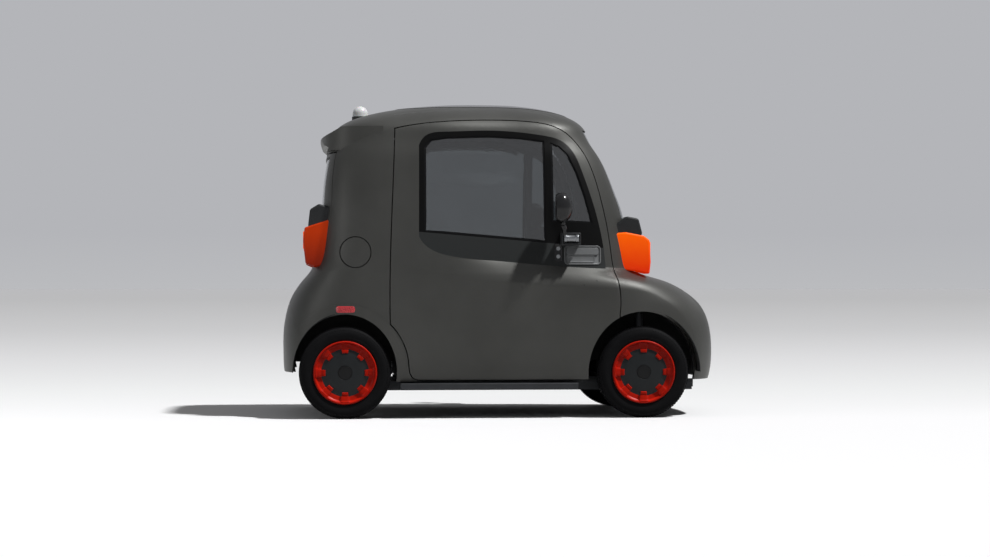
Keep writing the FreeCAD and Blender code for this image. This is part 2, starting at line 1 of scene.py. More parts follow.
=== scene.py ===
import json
import math
import bpy
import bmesh
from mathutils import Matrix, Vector

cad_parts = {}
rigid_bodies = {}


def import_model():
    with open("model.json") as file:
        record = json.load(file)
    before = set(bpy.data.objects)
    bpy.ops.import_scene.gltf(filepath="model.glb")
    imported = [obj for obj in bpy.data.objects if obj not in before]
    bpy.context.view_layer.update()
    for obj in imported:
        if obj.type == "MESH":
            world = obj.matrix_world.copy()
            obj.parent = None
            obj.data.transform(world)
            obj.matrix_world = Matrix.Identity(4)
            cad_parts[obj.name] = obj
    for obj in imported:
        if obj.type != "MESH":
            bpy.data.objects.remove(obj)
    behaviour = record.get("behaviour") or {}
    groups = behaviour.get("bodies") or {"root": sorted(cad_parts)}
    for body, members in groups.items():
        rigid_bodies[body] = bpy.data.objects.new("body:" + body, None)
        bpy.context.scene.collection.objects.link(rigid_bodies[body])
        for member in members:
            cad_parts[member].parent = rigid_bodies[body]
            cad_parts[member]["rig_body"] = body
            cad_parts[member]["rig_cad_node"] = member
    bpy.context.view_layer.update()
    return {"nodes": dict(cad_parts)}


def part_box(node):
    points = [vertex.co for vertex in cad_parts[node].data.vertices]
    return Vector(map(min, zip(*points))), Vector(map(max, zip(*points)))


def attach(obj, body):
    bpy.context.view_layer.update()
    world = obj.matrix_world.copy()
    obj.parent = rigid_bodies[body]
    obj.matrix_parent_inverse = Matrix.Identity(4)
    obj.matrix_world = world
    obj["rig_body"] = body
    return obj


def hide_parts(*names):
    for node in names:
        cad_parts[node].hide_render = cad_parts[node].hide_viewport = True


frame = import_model()
nodes = frame["nodes"]


# Painted body panels.
# Thermoformed ABS skins, satin paint in a warm dark grey, clipped over the frame with 6 mm shut lines.
# The doors and the front wings carry a pressed shoulder crease.

def tone(code):
    """An sRGB hex colour as the linear values that a shader takes."""
    parts = [int(code[i:i + 2], 16) / 255 for i in (1, 3, 5)]
    return [c / 12.92 if c <= 0.04045 else ((c + 0.055) / 1.055) ** 2.4 for c in parts] + [1.0]


def add(tree, kind, settings=None, links=None):
    """Adds one node; settings are its properties, sockets or tones, and links feed its sockets."""
    node = tree.nodes.new("ShaderNode" + kind)
    for key, value in (settings or {}).items():
        if key == "tones":
            for stop, code in zip(node.color_ramp.elements, value):
                stop.color = tone(code)
        elif isinstance(key, str) and hasattr(node, key):
            setattr(node, key, value)
        else:
            node.inputs[key].default_value = value
    for key, source in (links or {}).items():
        tree.links.new(source, node.inputs[key])
    return node


def finish_of(name, **sockets):
    """Starts a material and returns it with its node tree, its shader and the place that its patterns use."""
    material = bpy.data.materials.new(name)
    material.use_nodes = True
    tree = material.node_tree
    shader = tree.nodes["Principled BSDF"]
    for key, value in sockets.items():
        shader.inputs[key.replace("_", " ")].default_value = value
    return material, tree, shader, add(tree, "TexCoord").outputs["Object"]


# Satin two-pack paint over a faintly grained plastic: soft highlights, a light orange-peel ripple about
# 9 mm across, drawn coarse enough to show, and slow drifts of tone where it was sprayed.
satin_paint, tree, shader, place = finish_of("satin_grey_paint", Metallic=0.35, Specular_IOR_Level=0.35,
                                             Coat_Weight=0.06, Coat_Roughness=0.3)
drift = add(tree, "TexNoise", {"Scale": 2.2, "Detail": 3.0}, {"Vector": place})
settled = add(tree, "MapRange", {"From Min": 0.3, "From Max": 0.7}, {0: drift.outputs["Fac"]})
grey = add(tree, "ValToRGB", {"tones": ("#434340", "#4f4f4c")}, {0: settled.outputs[0]})
peel = add(tree, "TexNoise", {"Scale": 1 / 0.009, "Detail": 2.0}, {"Vector": place})
speck = add(tree, "TexNoise", {"Scale": 1 / 0.0015, "Detail": 1.0}, {"Vector": place})
flake = add(tree, "Mix", {"data_type": "RGBA", "blend_type": "OVERLAY", "Factor": 0.12},
            {6: grey.outputs[0], 7: speck.outputs["Color"]})
tree.links.new(flake.outputs[2], shader.inputs["Base Color"])
rough = add(tree, "MapRange", {"To Min": 0.40, "To Max": 0.50}, {0: peel.outputs["Fac"]})
tree.links.new(rough.outputs[0], shader.inputs["Roughness"])
ripple = add(tree, "Bump", {"Strength": 0.25, "Distance": 0.0004}, {"Height": peel.outputs["Fac"]})

# The pressed shoulder crease: a falling line along the door that becomes an ellipse round the front wheel.
# The skin stands out along it, and above it the skin leans in; most of the lean is in the paint's relief.
CREASE_X, CREASE_Z = 0.700, 0.347
CREASE_REACH = (0.444, 0.402)
CREASE_FALL = 0.0568
CREASE_LEAN, LEAN_REACH = 0.040, 0.30
CREASE_PROUD, CREASE_BELOW, CREASE_ROUND = 0.010, 2.2, 0.06
DOOR_FADE, NOSE_FADE, SILL_FADE = (-0.42, 0.10), (1.10, 1.25), (0.20, 0.35)
split = add(tree, "SeparateXYZ", links={0: place})
ahead = add(tree, "Math", {"operation": "SUBTRACT", 1: CREASE_X}, {0: split.outputs["X"]})
ahead_only = add(tree, "Math", {"operation": "MAXIMUM", 1: 0.0}, {0: ahead.outputs[0]})
behind_only = add(tree, "Math", {"operation": "MINIMUM", 1: 0.0}, {0: ahead.outputs[0]})
rise = add(tree, "Math", {"operation": "SUBTRACT", 1: CREASE_Z}, {0: split.outputs["Z"]})
lowered = add(tree, "Math", {"operation": "MULTIPLY_ADD", 1: CREASE_FALL},
              {0: behind_only.outputs[0], 2: rise.outputs[0]})
round_x = add(tree, "Math", {"operation": "DIVIDE", 1: CREASE_REACH[0]}, {0: ahead_only.outputs[0]})
round_z = add(tree, "Math", {"operation": "DIVIDE", 1: CREASE_REACH[1]}, {0: lowered.outputs[0]})
pair = add(tree, "CombineXYZ", links={"X": round_x.outputs[0], "Y": round_z.outputs[0]})
radius = add(tree, "VectorMath", {"operation": "LENGTH"}, {0: pair.outputs[0]})
past = add(tree, "Math", {"operation": "SUBTRACT", 1: 1.0}, {0: radius.outputs["Value"]})
shoulder = add(tree, "MapRange", {"From Min": 0.0, "From Max": LEAN_REACH}, {0: past.outputs[0]})
bowed = add(tree, "Math", {"operation": "MULTIPLY"}, {0: shoulder.outputs[0], 1: shoulder.outputs[0]})
fade = add(tree, "MapRange", {"interpolation_type": "SMOOTHSTEP", "From Min": DOOR_FADE[0],
                              "From Max": DOOR_FADE[1]}, {0: split.outputs["X"]})
nose = add(tree, "MapRange", {"interpolation_type": "SMOOTHSTEP", "From Min": NOSE_FADE[0],
                              "From Max": NOSE_FADE[1], "To Min": 1.0, "To Max": 0.0},
           {0: split.outputs["X"]})
kept = add(tree, "Math", {"operation": "MULTIPLY"}, {0: fade.outputs[0], 1: nose.outputs[0]})
lean = add(tree, "Math", {"operation": "MULTIPLY"}, {0: bowed.outputs[0], 1: kept.outputs[0]})
crease = add(tree, "Bump", {"invert": True, "Strength": 1.0, "Distance": CREASE_LEAN},
             {"Height": lean.outputs[0], "Normal": ripple.outputs[0]})
tree.links.new(crease.outputs[0], shader.inputs["Normal"])


def deselect():
    """Leaves no object selected or active in edit mode."""
    if bpy.context.object and bpy.context.object.mode != "OBJECT":
        bpy.ops.object.mode_set(mode="OBJECT")
    bpy.ops.object.select_all(action="DESELECT")


def twin_of(piece, name):
    """Copies an object with a mesh of its own; the copy is the only one selected."""
    deselect()
    piece.select_set(True)
    bpy.context.view_layer.objects.active = piece
    bpy.ops.object.duplicate()
    bpy.context.object.name = name
    return bpy.context.object


def share_between(value, ends):
    """How far a value lies between two ends, from 0 to 1."""
    return min(1.0, max(0.0, (value - ends[0]) / (ends[1] - ends[0])))


def crease_height(at):
    """How far the pressed shoulder crease stands out at a point, in metres."""
    ahead = at.x - CREASE_X
    rise = at.z - CREASE_Z + CREASE_FALL * min(0.0, ahead)
    past = math.hypot(max(0.0, ahead) / CREASE_REACH[0], rise / CREASE_REACH[1]) - 1
    away = math.hypot(past / LEAN_REACH, CREASE_ROUND) - CREASE_ROUND
    share = max(0.0, 1 - away / (1.0 if past > 0 else CREASE_BELOW)) ** 2
    along = share_between(at.x, DOOR_FADE)
    return CREASE_PROUD * share * share_between(at.z, SILL_FADE) * along * along * (3 - 2 * along)


def press_crease(piece):
    """Splits the triangles about the crease to 12 mm or less and moves both skins out along it."""
    cabin_half, least_height, facing = 0.50, 0.0003, (0.2, 0.7)
    bpy.ops.object.mode_set(mode="EDIT")
    bpy.ops.mesh.select_mode(type="EDGE")
    for longest in (0.100, 0.050, 0.025, 0.012):
        bpy.ops.mesh.select_all(action="DESELECT")
        mesh = bmesh.from_edit_mesh(piece.data)
        for e in mesh.edges:
            middle = (e.verts[0].co + e.verts[1].co) / 2
            near = longest == 0.100 or crease_height(middle) > least_height
            if near and e.calc_length() > longest and abs(middle.y) > cabin_half:
                e.select_set(True)
        bmesh.update_edit_mesh(piece.data)
        bpy.ops.mesh.subdivide(number_cuts=1)
        bpy.ops.mesh.select_all(action="SELECT")
        bpy.ops.mesh.quads_convert_to_tris()
    bpy.ops.object.mode_set(mode="OBJECT")
    shares = [share_between(abs(v.normal.y), facing) for v in piece.data.vertices]
    for v, share in zip(piece.data.vertices, shares):
        v.co.y += math.copysign(crease_height(v.co) * share, v.co.y)


def smooth_copy(node, name, material, angle=28.0, shape=None):
    """A merged, smooth-shaded copy of a node that stands in its place; shape, a function, reworks it."""
    piece = twin_of(nodes[node], name)
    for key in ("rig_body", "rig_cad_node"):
        if key in piece:
            del piece[key]
    bpy.ops.mesh.customdata_custom_splitnormals_clear()
    bpy.ops.object.mode_set(mode="EDIT")
    bpy.ops.mesh.select_all(action="SELECT")
    bpy.ops.mesh.remove_doubles(threshold=0.00002)
    bpy.ops.object.mode_set(mode="OBJECT")
    if shape:
        shape(piece)
    bpy.ops.object.shade_smooth_by_angle(angle=math.radians(angle))
    by_area = piece.modifiers.new("even_shading", "WEIGHTED_NORMAL")
    by_area.keep_sharp = True
    by_area.weight = 100
    bpy.ops.object.modifier_apply(modifier="even_shading")
    piece.data.materials.clear()
    piece.data.materials.append(material)
    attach(piece, nodes[node]["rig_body"])
    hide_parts(node)
    return piece


panels = {}
for node in ("front_body", "bonnet_lid", "side_frames", "roof_panel", "rear_quarter_left",
             "rear_quarter_right", "rear_bumper", "tailgate_panel", "door_panel_left", "door_panel_right",
             "fuel_flap"):
    creased = node == "front_body" or node.startswith("door_panel")
    panels[node] = smooth_copy(node, "painted_" + node, satin_paint, shape=press_crease if creased else None)


# Window glass.
# Laminated and toughened panes, body-tinted grey; the screen and side panes are bonded in.
# They show as dark, clean panes with a sharp reflection, and the cabin and background show dimly through.

def patterned(name, *patterns, **sockets):
    """A finish from patterns, each a texture with its settings and what it drives: two tones of colour, a
    gloss (two roughnesses) or a relief (strength and height in metres)."""
    material, tree, shader, place = finish_of(name, **sockets)
    for texture, settings, drives in patterns:
        node = add(tree, texture, settings, {"Vector": place})
        pattern = node.outputs["Distance" if texture == "TexVoronoi" else "Fac"]
        if "tones" in drives:
            colour = add(tree, "ValToRGB", {"tones": drives["tones"]}, {0: pattern})
            tree.links.new(colour.outputs[0], shader.inputs["Base Color"])
        if "gloss" in drives:
            low, high = drives["gloss"]
            worn = add(tree, "MapRange", {"To Min": low, "To Max": high}, {0: pattern})
            tree.links.new(worn.outputs[0], shader.inputs["Roughness"])
        if "relief" in drives:
            strength, height = drives["relief"]
            bump = add(tree, "Bump", {"Strength": strength, "Distance": height}, {"Height": pattern})
            tree.links.new(bump.outputs[0], shader.inputs["Normal"])
    return material


# Toughened glass under a thin film of dust, with a strong reflection; the laminated screen reflects less.
tinted_glass = patterned("tinted_glass", ("TexNoise", {"Scale": 6.0, "Detail": 4.0},
                                          {"tones": ("#8b9092", "#959a9c"), "gloss": (0.0, 0.01)}),
                         Transmission_Weight=1.0, IOR=1.9)
screen_glass = tinted_glass.copy()
screen_glass.name = "laminated_screen_glass"
screen_glass.node_tree.nodes["Principled BSDF"].inputs["IOR"].default_value = 1.4
for node in ("windscreen", "tailgate_glass", "door_glass_left", "door_glass_right"):
    smooth_copy(node, "pane_" + node, tinted_glass if node.startswith("door") else screen_glass)


# Window surrounds and handle panel.
# A moulded frame round the door glass: near-black round the pane, dark satin grey below the belt line.
# It clips into the door skin, and carries the handle.

MOULD_GRAIN = 0.0012
BELT_Z, BELT_FALL = 1.038, 0.085
# Grained polypropylene: dull, with pebbles a little over 1 mm across.
surround_plastic, tree, shader, place = finish_of("black_and_grey_window_mould", Roughness=0.42,
                                                  Specular_IOR_Level=0.1)
split = add(tree, "SeparateXYZ", links={0: place})
belt = add(tree, "Math", {"operation": "MULTIPLY_ADD", 1: BELT_FALL},
           {0: split.outputs["X"], 2: split.outputs["Z"]})
above = add(tree, "Math", {"operation": "GREATER_THAN", 1: BELT_Z}, {0: belt.outputs[0]})
mould = add(tree, "Mix", {"data_type": "RGBA", 6: tone("#3e4040"), 7: tone("#0a0a0a")}, {0: above.outputs[0]})
tree.links.new(mould.outputs[2], shader.inputs["Base Color"])
grain = add(tree, "TexVoronoi", {"Scale": 1 / MOULD_GRAIN}, {"Vector": place})
pebble = add(tree, "Bump", {"Strength": 0.3, "Distance": 0.0001}, {"Height": grain.outputs["Distance"]})
tree.links.new(pebble.outputs[0], shader.inputs["Normal"])
surrounds = {}
for side in ("left", "right"):
    surrounds[side] = smooth_copy("door_surround_" + side, "window_surround_" + side, surround_plastic)


# Tyres.
# 145/70 R13 radials, black rubber vulcanised in a mould: four rows of slanted tread blocks, banded sidewalls.
# Modelled once round the axle line as a ring drawn out to its section, then copied to the four wheels.

TYRE_R, BEAD_R = 0.2665, 0.1655
TREAD_DEPTH, TREAD_HALF, TREAD_SLANT = 0.007, 0.0520, 0.6
TREAD_STEPS = 96
STEP = 2 * math.pi / TREAD_STEPS
GROOVED_R = TYRE_R - TREAD_DEPTH
SECTION = [(0.058, BEAD_R), (0.064, 0.172), (0.0655, 0.186), (0.0700, 0.205), (0.0722, 0.222), (0.0690, 0.243),
           (0.0600, 0.2555), (TREAD_HALF, GROOVED_R), (0.0270, GROOVED_R + 0.0004), (0.0, GROOVED_R + 0.0006)]
# Carbon-black rubber: near black with a slight bloom and no shine, its skin drawn 2 mm coarse to show.
rubber = patterned("tyre_rubber",
                   ("TexNoise", {"Scale": 14.0, "Detail": 5.0}, {"tones": ("#121214", "#1e1e1f")}),
                   ("TexNoise", {"Scale": 1 / 0.002, "Detail": 2.0}, {"relief": (0.2, 0.0002)}),
                   Roughness=0.62, Specular_IOR_Level=0.06)


def begin(name, scale=(1, 1, 1)):
    """Names and scales the new primitive, puts its place into its mesh and opens it, all selected."""
    piece = bpy.context.object
    piece.name = name
    piece.scale = scale
    bpy.ops.object.transform_apply(location=True, rotation=True, scale=True)
    bpy.ops.object.mode_set(mode="EDIT")
    bpy.ops.mesh.select_mode(type="VERT")
    bpy.ops.mesh.select_all(action="SELECT")
    return piece


def pick(piece, wanted, kind="FACE"):
    """In edit mode, selects just the faces, edges or vertices whose middle passes a test."""
    bpy.ops.mesh.select_mode(type=kind)
    bpy.ops.mesh.select_all(action="DESELECT")
    mesh = bmesh.from_edit_mesh(piece.data)
    if kind == "VERT":
        middles = [(v, v.co) for v in mesh.verts]
    elif kind == "EDGE":
        middles = [(e, (e.verts[0].co + e.verts[1].co) / 2) for e in mesh.edges]
    else:
        middles = [(f, f.calc_center_median()) for f in mesh.faces]
    for element, middle in middles:
        if wanted(middle):
            element.select_set(True)
    mesh.select_flush_mode()
    bmesh.update_edit_mesh(piece.data)


def rings_in(*steps, **options):
    """Insets the selected faces step by step; each step is how far in and how deep."""
    for thickness, depth in steps:
        bpy.ops.mesh.inset(thickness=thickness, depth=depth, **options)


def push(x, y, z):
    """Extrudes what is selected and moves it."""
    bpy.ops.mesh.extrude_region_move(TRANSFORM_OT_translate={"value": (x, y, z)})


def close(piece, material, angle, *modifiers, inlay=None):
    """Leaves edit mode, sets the material (and inlay's, on the faces that pass its test), applies modifiers
    given as (kind, settings), and shades smooth up to an angle in degrees."""
    bpy.ops.object.mode_set(mode="OBJECT")
    piece.data.materials.append(material)
    if inlay:
        piece.data.materials.append(inlay[0])
        for face in piece.data.polygons:
            face.material_index = int(inlay[1](face))
    for kind, settings in modifiers:
        step = piece.modifiers.new(kind.lower(), kind)
        for key, value in settings.items():
            setattr(step, key, value)
        bpy.ops.object.modifier_apply(modifier=step.name)
    bpy.ops.object.shade_smooth_by_angle(angle=math.radians(angle))


def bevelled(width, segments, **settings):
    """Rounded edges for close, on the piece's sharp edges alone."""
    return "BEVEL", {"width": width, "segments": segments, "limit_method": "ANGLE", **settings}


def off_axis(c):
    """A point's distance from the wheel's axle line."""
    return math.hypot(c.x, c.z)


deselect()
bpy.ops.mesh.primitive_circle_add(vertices=TREAD_STEPS, radius=SECTION[0][1], rotation=(math.pi / 2, 0, 0),
                                  location=(0, -SECTION[0][0], 0))
tyre = begin("tyre_pattern")
bpy.ops.mesh.select_mode(type="EDGE")
section = [(-out, r) for out, r in SECTION] + [(out, r) for out, r in reversed(SECTION[:-1])]
for (y0, r0), (y1, r1) in zip(section, section[1:]):
    push(0, y1 - y0, 0)
    bpy.ops.transform.resize(value=(r1 / r0, 1, r1 / r0), center_override=(0, y1, 0))
bpy.ops.mesh.select_all(action="SELECT")
bpy.ops.mesh.normals_make_consistent(inside=False)
# The block rows slant: the outer lines are turned one way and the middle line the other.
pick(tyre, lambda c: abs(abs(c.y) - TREAD_HALF) < 0.001, "VERT")
bpy.ops.transform.rotate(value=-STEP * TREAD_SLANT, orient_axis="Y", center_override=(0, 0, 0))
pick(tyre, lambda c: abs(c.y) < 0.001, "VERT")
bpy.ops.transform.rotate(value=STEP * TREAD_SLANT, orient_axis="Y", center_override=(0, 0, 0))
pick(tyre, lambda c: abs(c.y) < TREAD_HALF + 0.0005 and off_axis(c) > 0.255)
rings_in((0.0022, 0.0), (0.0006, TREAD_DEPTH - 0.001), use_individual=True)
# A raised band runs round each shoulder, and another round each sidewall.
pick(tyre, lambda c: 0.0595 < abs(c.y) < 0.0665 and 0.2425 < off_axis(c) < 0.2555)
rings_in((0.0020, 0.0), (0.0008, 0.0020), use_individual=True)
pick(tyre, lambda c: 0.0655 < abs(c.y) < 0.0700 and 0.186 < off_axis(c) < 0.205)
rings_in((0.0030, 0.0), (0.0010, 0.0009))
close(tyre, rubber, 32)
WHEELS = ("front_right", "front_left", "rear_right", "rear_left")


def to_wheels(pattern, name, replaced=None):
    """Copies a piece modelled at the origin, outboard towards -Y, to all four wheels."""
    for wheel in WHEELS:
        low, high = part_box("tyre_" + wheel)
        piece = twin_of(pattern, name + "_" + wheel)
        piece.rotation_euler = (0, 0, math.pi if wheel.endswith("left") else 0)
        piece.location = ((low.x + high.x) / 2, (low.y + high.y) / 2, (low.z + high.z) / 2)
        bpy.ops.object.transform_apply(location=True, rotation=True, scale=True)
        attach(piece, "wheel_" + wheel)
        if replaced:
            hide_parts(replaced + "_" + wheel)
    bpy.data.objects.remove(pattern)


to_wheels(tyre, "treaded_tyre", "tyre")


# Wheel trims: the outer ring.
# Injection-moulded ABS in red-orange, a rolled lip against the tyre and eight tabs that clip over the dark
# disc. It snaps into the steel rim.

RING_OUT, RING_IN = 0.183, 0.136
RING_STEPS, TABS, TAB_STEPS = 64, 8, 3
RING_SECTION = [(0.0668, RING_OUT), (0.0728, 0.1815), (0.0745, 0.1775), (0.0732, 0.1725), (0.0665, 0.1690),
                (0.0612, 0.1620), (0.0602, RING_IN)]
# Moulded ABS: strong colour right through, a soft shine and a fine spark-eroded texture.
red_abs = patterned("red_orange_abs",
                    ("TexNoise", {"Scale": 9.0, "Detail": 3.0}, {"tones": ("#b91805", "#db210a")}),
                    ("TexNoise", {"Scale": 1 / 0.0015, "Detail": 2.0}, {"relief": (0.15, 0.0001)}),
                    Roughness=0.34, Specular_IOR_Level=0.15)


def near_tab(c):
    """Whether a point lies within a tab's width of one of the eight tab lines."""
    turn = math.degrees(math.atan2(c.x, c.z)) % (360 / TABS)
    return min(turn, 360 / TABS - turn) < TAB_STEPS / 2 * 360 / RING_STEPS + 0.2


deselect()
bpy.ops.mesh.primitive_circle_add(vertices=RING_STEPS, radius=RING_OUT, rotation=(math.pi / 2, 0, 0),
                                  location=(0, -RING_SECTION[0][0], 0))
ring = begin("trim_ring_pattern")
bpy.ops.transform.rotate(value=math.pi / RING_STEPS, orient_axis="Y", center_override=(0, 0, 0))
for (o0, r0), (o1, r1) in zip(RING_SECTION, RING_SECTION[1:]):
    push(0, o0 - o1, 0)
    bpy.ops.transform.resize(value=(r1 / r0, 1, r1 / r0), center_override=(0, -o1, 0))
# Each tab comes out of the ring's inner edge, laps over the disc and turns in at its tip.
pick(ring, lambda c: off_axis(c) < RING_IN + 0.0005 and near_tab(c), "EDGE")
for out, narrower in ((-0.0080, 0.97), (-0.0010, 0.88), (0.0040, 0.98)):
    push(0, out, 0)
    bpy.ops.transform.resize(value=(narrower, 1, narrower), center_override=(0, 0, 0))
# Each tab rises as a rib over the ring's dished band, out to the lip.
pick(ring, lambda c: RING_IN + 0.0005 < off_axis(c) < 0.170 and near_tab(c))
push(0, -0.0080, 0)
bpy.ops.mesh.select_all(action="SELECT")
bpy.ops.mesh.normals_make_consistent(inside=False)
close(ring, red_abs, 40, ("SOLIDIFY", {"thickness": 0.0025, "offset": 0.0}), bevelled(0.0009, 2))
to_wheels(ring, "trim_ring")


# Wheel trims: the dark disc and its centre cap.
# A domed polypropylene disc in charcoal, glass-filled and fine-grained, with a plain black cap in its middle.
# The ring's tabs hold it to the rim.

DISC_R, CAP_R = 0.141, 0.0385
DISC_SECTION = [(DISC_R, 0.0612), (0.134, 0.0618), (0.124, 0.0630), (0.116, 0.0652), (0.095, 0.0690),
                (0.065, 0.0712), (0.0430, 0.0716), (0.0415, 0.0700), (CAP_R, 0.0700), (CAP_R - 0.0015, 0.0722),
                (0.020, 0.0730)]
# Glass-filled polypropylene: a dull charcoal with cloudy patches and the mould's grain.
disc_plastic = patterned("charcoal_polypropylene",
                         ("TexNoise", {"Scale": 20.0, "Detail": 4.0}, {"tones": ("#1f2122", "#2b2e30")}),
                         ("TexVoronoi", {"Scale": 1 / MOULD_GRAIN}, {"relief": (0.25, 0.0001)}),
                         Roughness=0.38, Specular_IOR_Level=0.2)


def recoloured(material, name, codes):
    """A copy of a finish with other tones."""
    other = material.copy()
    other.name = name
    ramp = next(n for n in other.node_tree.nodes if n.bl_idname == "ShaderNodeValToRGB")
    for stop, code in zip(ramp.color_ramp.elements, codes):
        stop.color = tone(code)
    return other


cap_plastic = recoloured(disc_plastic, "black_cap_polypropylene", ("#0c0c0c", "#171718"))
deselect()
bpy.ops.mesh.primitive_circle_add(vertices=RING_STEPS, radius=DISC_R, fill_type="NGON",
                                  rotation=(math.pi / 2, 0, 0), location=(0, -DISC_SECTION[0][1], 0))
disc = begin("trim_disc_pattern")
for (r0, o0), (r1, o1) in zip(DISC_SECTION, DISC_SECTION[1:]):
    bpy.ops.mesh.inset(thickness=r0 - r1, depth=0.0)
    bpy.ops.transform.translate(value=(0, o0 - o1, 0))
close(disc, disc_plastic, 35, inlay=(cap_plastic, lambda face: off_axis(face.center) < CAP_R + 0.002))
to_wheels(disc, "trim_disc")


# Rims.
# Pressed steel, welded from a rolled barrel and a disc, dipped in black paint.
# The trims hide all but the barrel.

# Dipped steel: black with grey wear, patchy gloss and a slightly pitted skin, drawn 3 mm coarse to show.
painted_steel = patterned("black_dipped_steel", ("TexNoise", {"Scale": 12.0, "Detail": 6.0},
                                                 {"tones": ("#222425", "#3e4044"), "gloss": (0.42, 0.66)}),
                          ("TexNoise", {"Scale": 1 / 0.003, "Detail": 2.0}, {"relief": (0.2, 0.0002)}),
                          Metallic=0.4, Roughness=0.5)
for wheel in WHEELS:
    smooth_copy("rim_" + wheel, "steel_rim_" + wheel, painted_steel, 35)


# Frame, axles and steering.
# Welded steel box bars with a black electro-dipped coat, and forged and turned axle parts with the same coat.

for node in ("chassis_frame", "front_arms", "front_towers", "steering_rack", "rear_axle", "knuckle_left",
             "knuckle_right"):
    smooth_copy(node, "dipped_" + node, painted_steel, 35)


# Floor, boot floor and battery case.
# Pressed and folded sheet, primed and sprayed against stones from below; the battery case is coated alike.

# Stone-chip coat: dull tar grey with a pebbled skin, 4 mm to a pebble.
primer = patterned("stone_chip_coat", ("TexVoronoi", {"Scale": 1 / 0.004},
                                       {"tones": ("#353738", "#484a4b"), "relief": (0.5, 0.0006)}),
                   Roughness=0.8)
for node in ("floor_platform", "boot_floor", "battery_block"):
    smooth_copy(node, "coated_" + node, primer, 35)


# Wheel-arch liners.
# Moulded black polypropylene felt tubs, an arched skin closed by an inner wall, clipped to the arch edges.
# The front ones leave a window for the strut and room for the wheel at full lock.

# Needled felt: black, lit by nothing but its loose fibres, drawn 2 mm coarse so that they show.
felt = patterned("black_arch_felt", ("TexNoise", {"Scale": 1 / 0.002, "Detail": 4.0},
                                     {"tones": ("#0e0e0e", "#242424"), "relief": (0.5, 0.0005)}),
                 Roughness=0.95)
LINER_FOOT, LINER_TOP, STRUT_GAP, LINER_STEPS = 0.262, 0.30, 0.052, 6
LINERS = {"front": (0.340, 0.361, 0.385, 0.645), "rear": (0.303, 0.3435, 0.475, 0.646)}
for axle, (reach, rise_up, inner, outer) in LINERS.items():
    low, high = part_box("tyre_%s_right" % axle)
    axle_x = (low.x + high.x) / 2
    for side, name in ((-1, "right"), (1, "left")):
        deselect()
        bpy.ops.mesh.primitive_circle_add(vertices=72, radius=1.0, rotation=(math.pi / 2, 0, 0),
                                          location=(axle_x, side * outer, TYRE_R))
        liner = begin("arch_liner_%s_%s" % (axle, name), (reach, rise_up, 1))
        pick(liner, lambda c: c.z < LINER_FOOT, "VERT")
        bpy.ops.mesh.delete(type="VERT")
        bpy.ops.mesh.select_all(action="SELECT")
        for step in range(LINER_STEPS):
            push(0, side * (inner - outer) / LINER_STEPS, 0)
        pick(liner, lambda c: abs(abs(c.y) - inner) < 0.0005 and c.z > LINER_TOP, "VERT")
        bpy.ops.mesh.edge_face_add()
        if axle == "front":
            pick(liner, lambda c: abs(c.x - axle_x) < STRUT_GAP and c.z > 0.5 and 0.43 < abs(c.y) < 0.56)
            bpy.ops.mesh.delete(type="FACE")
        bpy.ops.mesh.select_all(action="SELECT")
        bpy.ops.mesh.normals_make_consistent(inside=True)
        close(liner, felt, 35, ("SOLIDIFY", {"thickness": 0.003, "offset": 1.0}))
        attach(liner, "chassis")


# Lamp pods and their caps.
# Orange-tinted polycarbonate shells at the four corners with a black moulded cap on each; their low glow is
# painted light, an emission that brightens them in shade though the lamps are not lit, and the face runs from
# orange to red-orange downward.

# Tinted polycarbonate: a soft, even colour with faint mottling, deeper towards the foot; the same tones also
# feed a painted glow.
lamp_shell, tree, shader, place = finish_of("orange_polycarbonate", Roughness=0.35, Specular_IOR_Level=0.2,
                                            Emission_Strength=0.6)
split = add(tree, "SeparateXYZ", links={0: place})
fall = add(tree, "MapRange", {"From Min": 0.85, "From Max": 1.10}, {0: split.outputs["Z"]})
mottle = add(tree, "TexNoise", {"Scale": 25.0, "Detail": 2.0}, {"Vector": place})
stir = add(tree, "Math", {"operation": "MULTIPLY_ADD", 1: 0.12},
           {0: mottle.outputs["Fac"], 2: fall.outputs[0]})
tint_and_painted_glow = add(tree, "ValToRGB", {"tones": ("#d42200", "#ff6200")}, {0: stir.outputs[0]})
tree.links.new(tint_and_painted_glow.outputs[0], shader.inputs["Base Color"])
tree.links.new(tint_and_painted_glow.outputs[0], shader.inputs["Emission Color"])
frost = add(tree, "Bump", {"Strength": 0.2, "Distance": 0.0003}, {"Height": mottle.outputs["Fac"]})
tree.links.new(frost.outputs[0], shader.inputs["Normal"])
# The tail shells are a recoloured copy and carry the same painted glow.
rear_shell = recoloured(lamp_shell, "red_orange_polycarbonate", ("#5e0c00", "#a62c00"))
smooth_copy("front_lamp_pods", "front_lamp_shells", lamp_shell, 40)
smooth_copy("tail_lamp_pods", "tail_lamp_shells", rear_shell, 40)

# Grained polypropylene: chalky black with the mould's pebble grain.
black_plastic = patterned("black_grained_polypropylene",
                          ("TexVoronoi", {"Scale": 1 / MOULD_GRAIN}, {"relief": (0.35, 0.00015)}),
                          ("TexNoise", {"Scale": 15.0, "Detail": 4.0}, {"tones": ("#1b1c1e", "#2e3031")}),
                          Roughness=0.5, Specular_IOR_Level=0.3)
for node in ("front_pod_caps", "tail_pod_caps"):
    smooth_copy(node, "black_" + node, black_plastic, 40)


# Lamp lenses.
# Ribbed clear-orange lens bars let into the outer end face of each pod, one rib every 7 mm.
# They snap in flush, with a plain rim round a field that lies 3 mm deep.

RIB_PITCH, LENS_DEEP = 0.007, 0.020
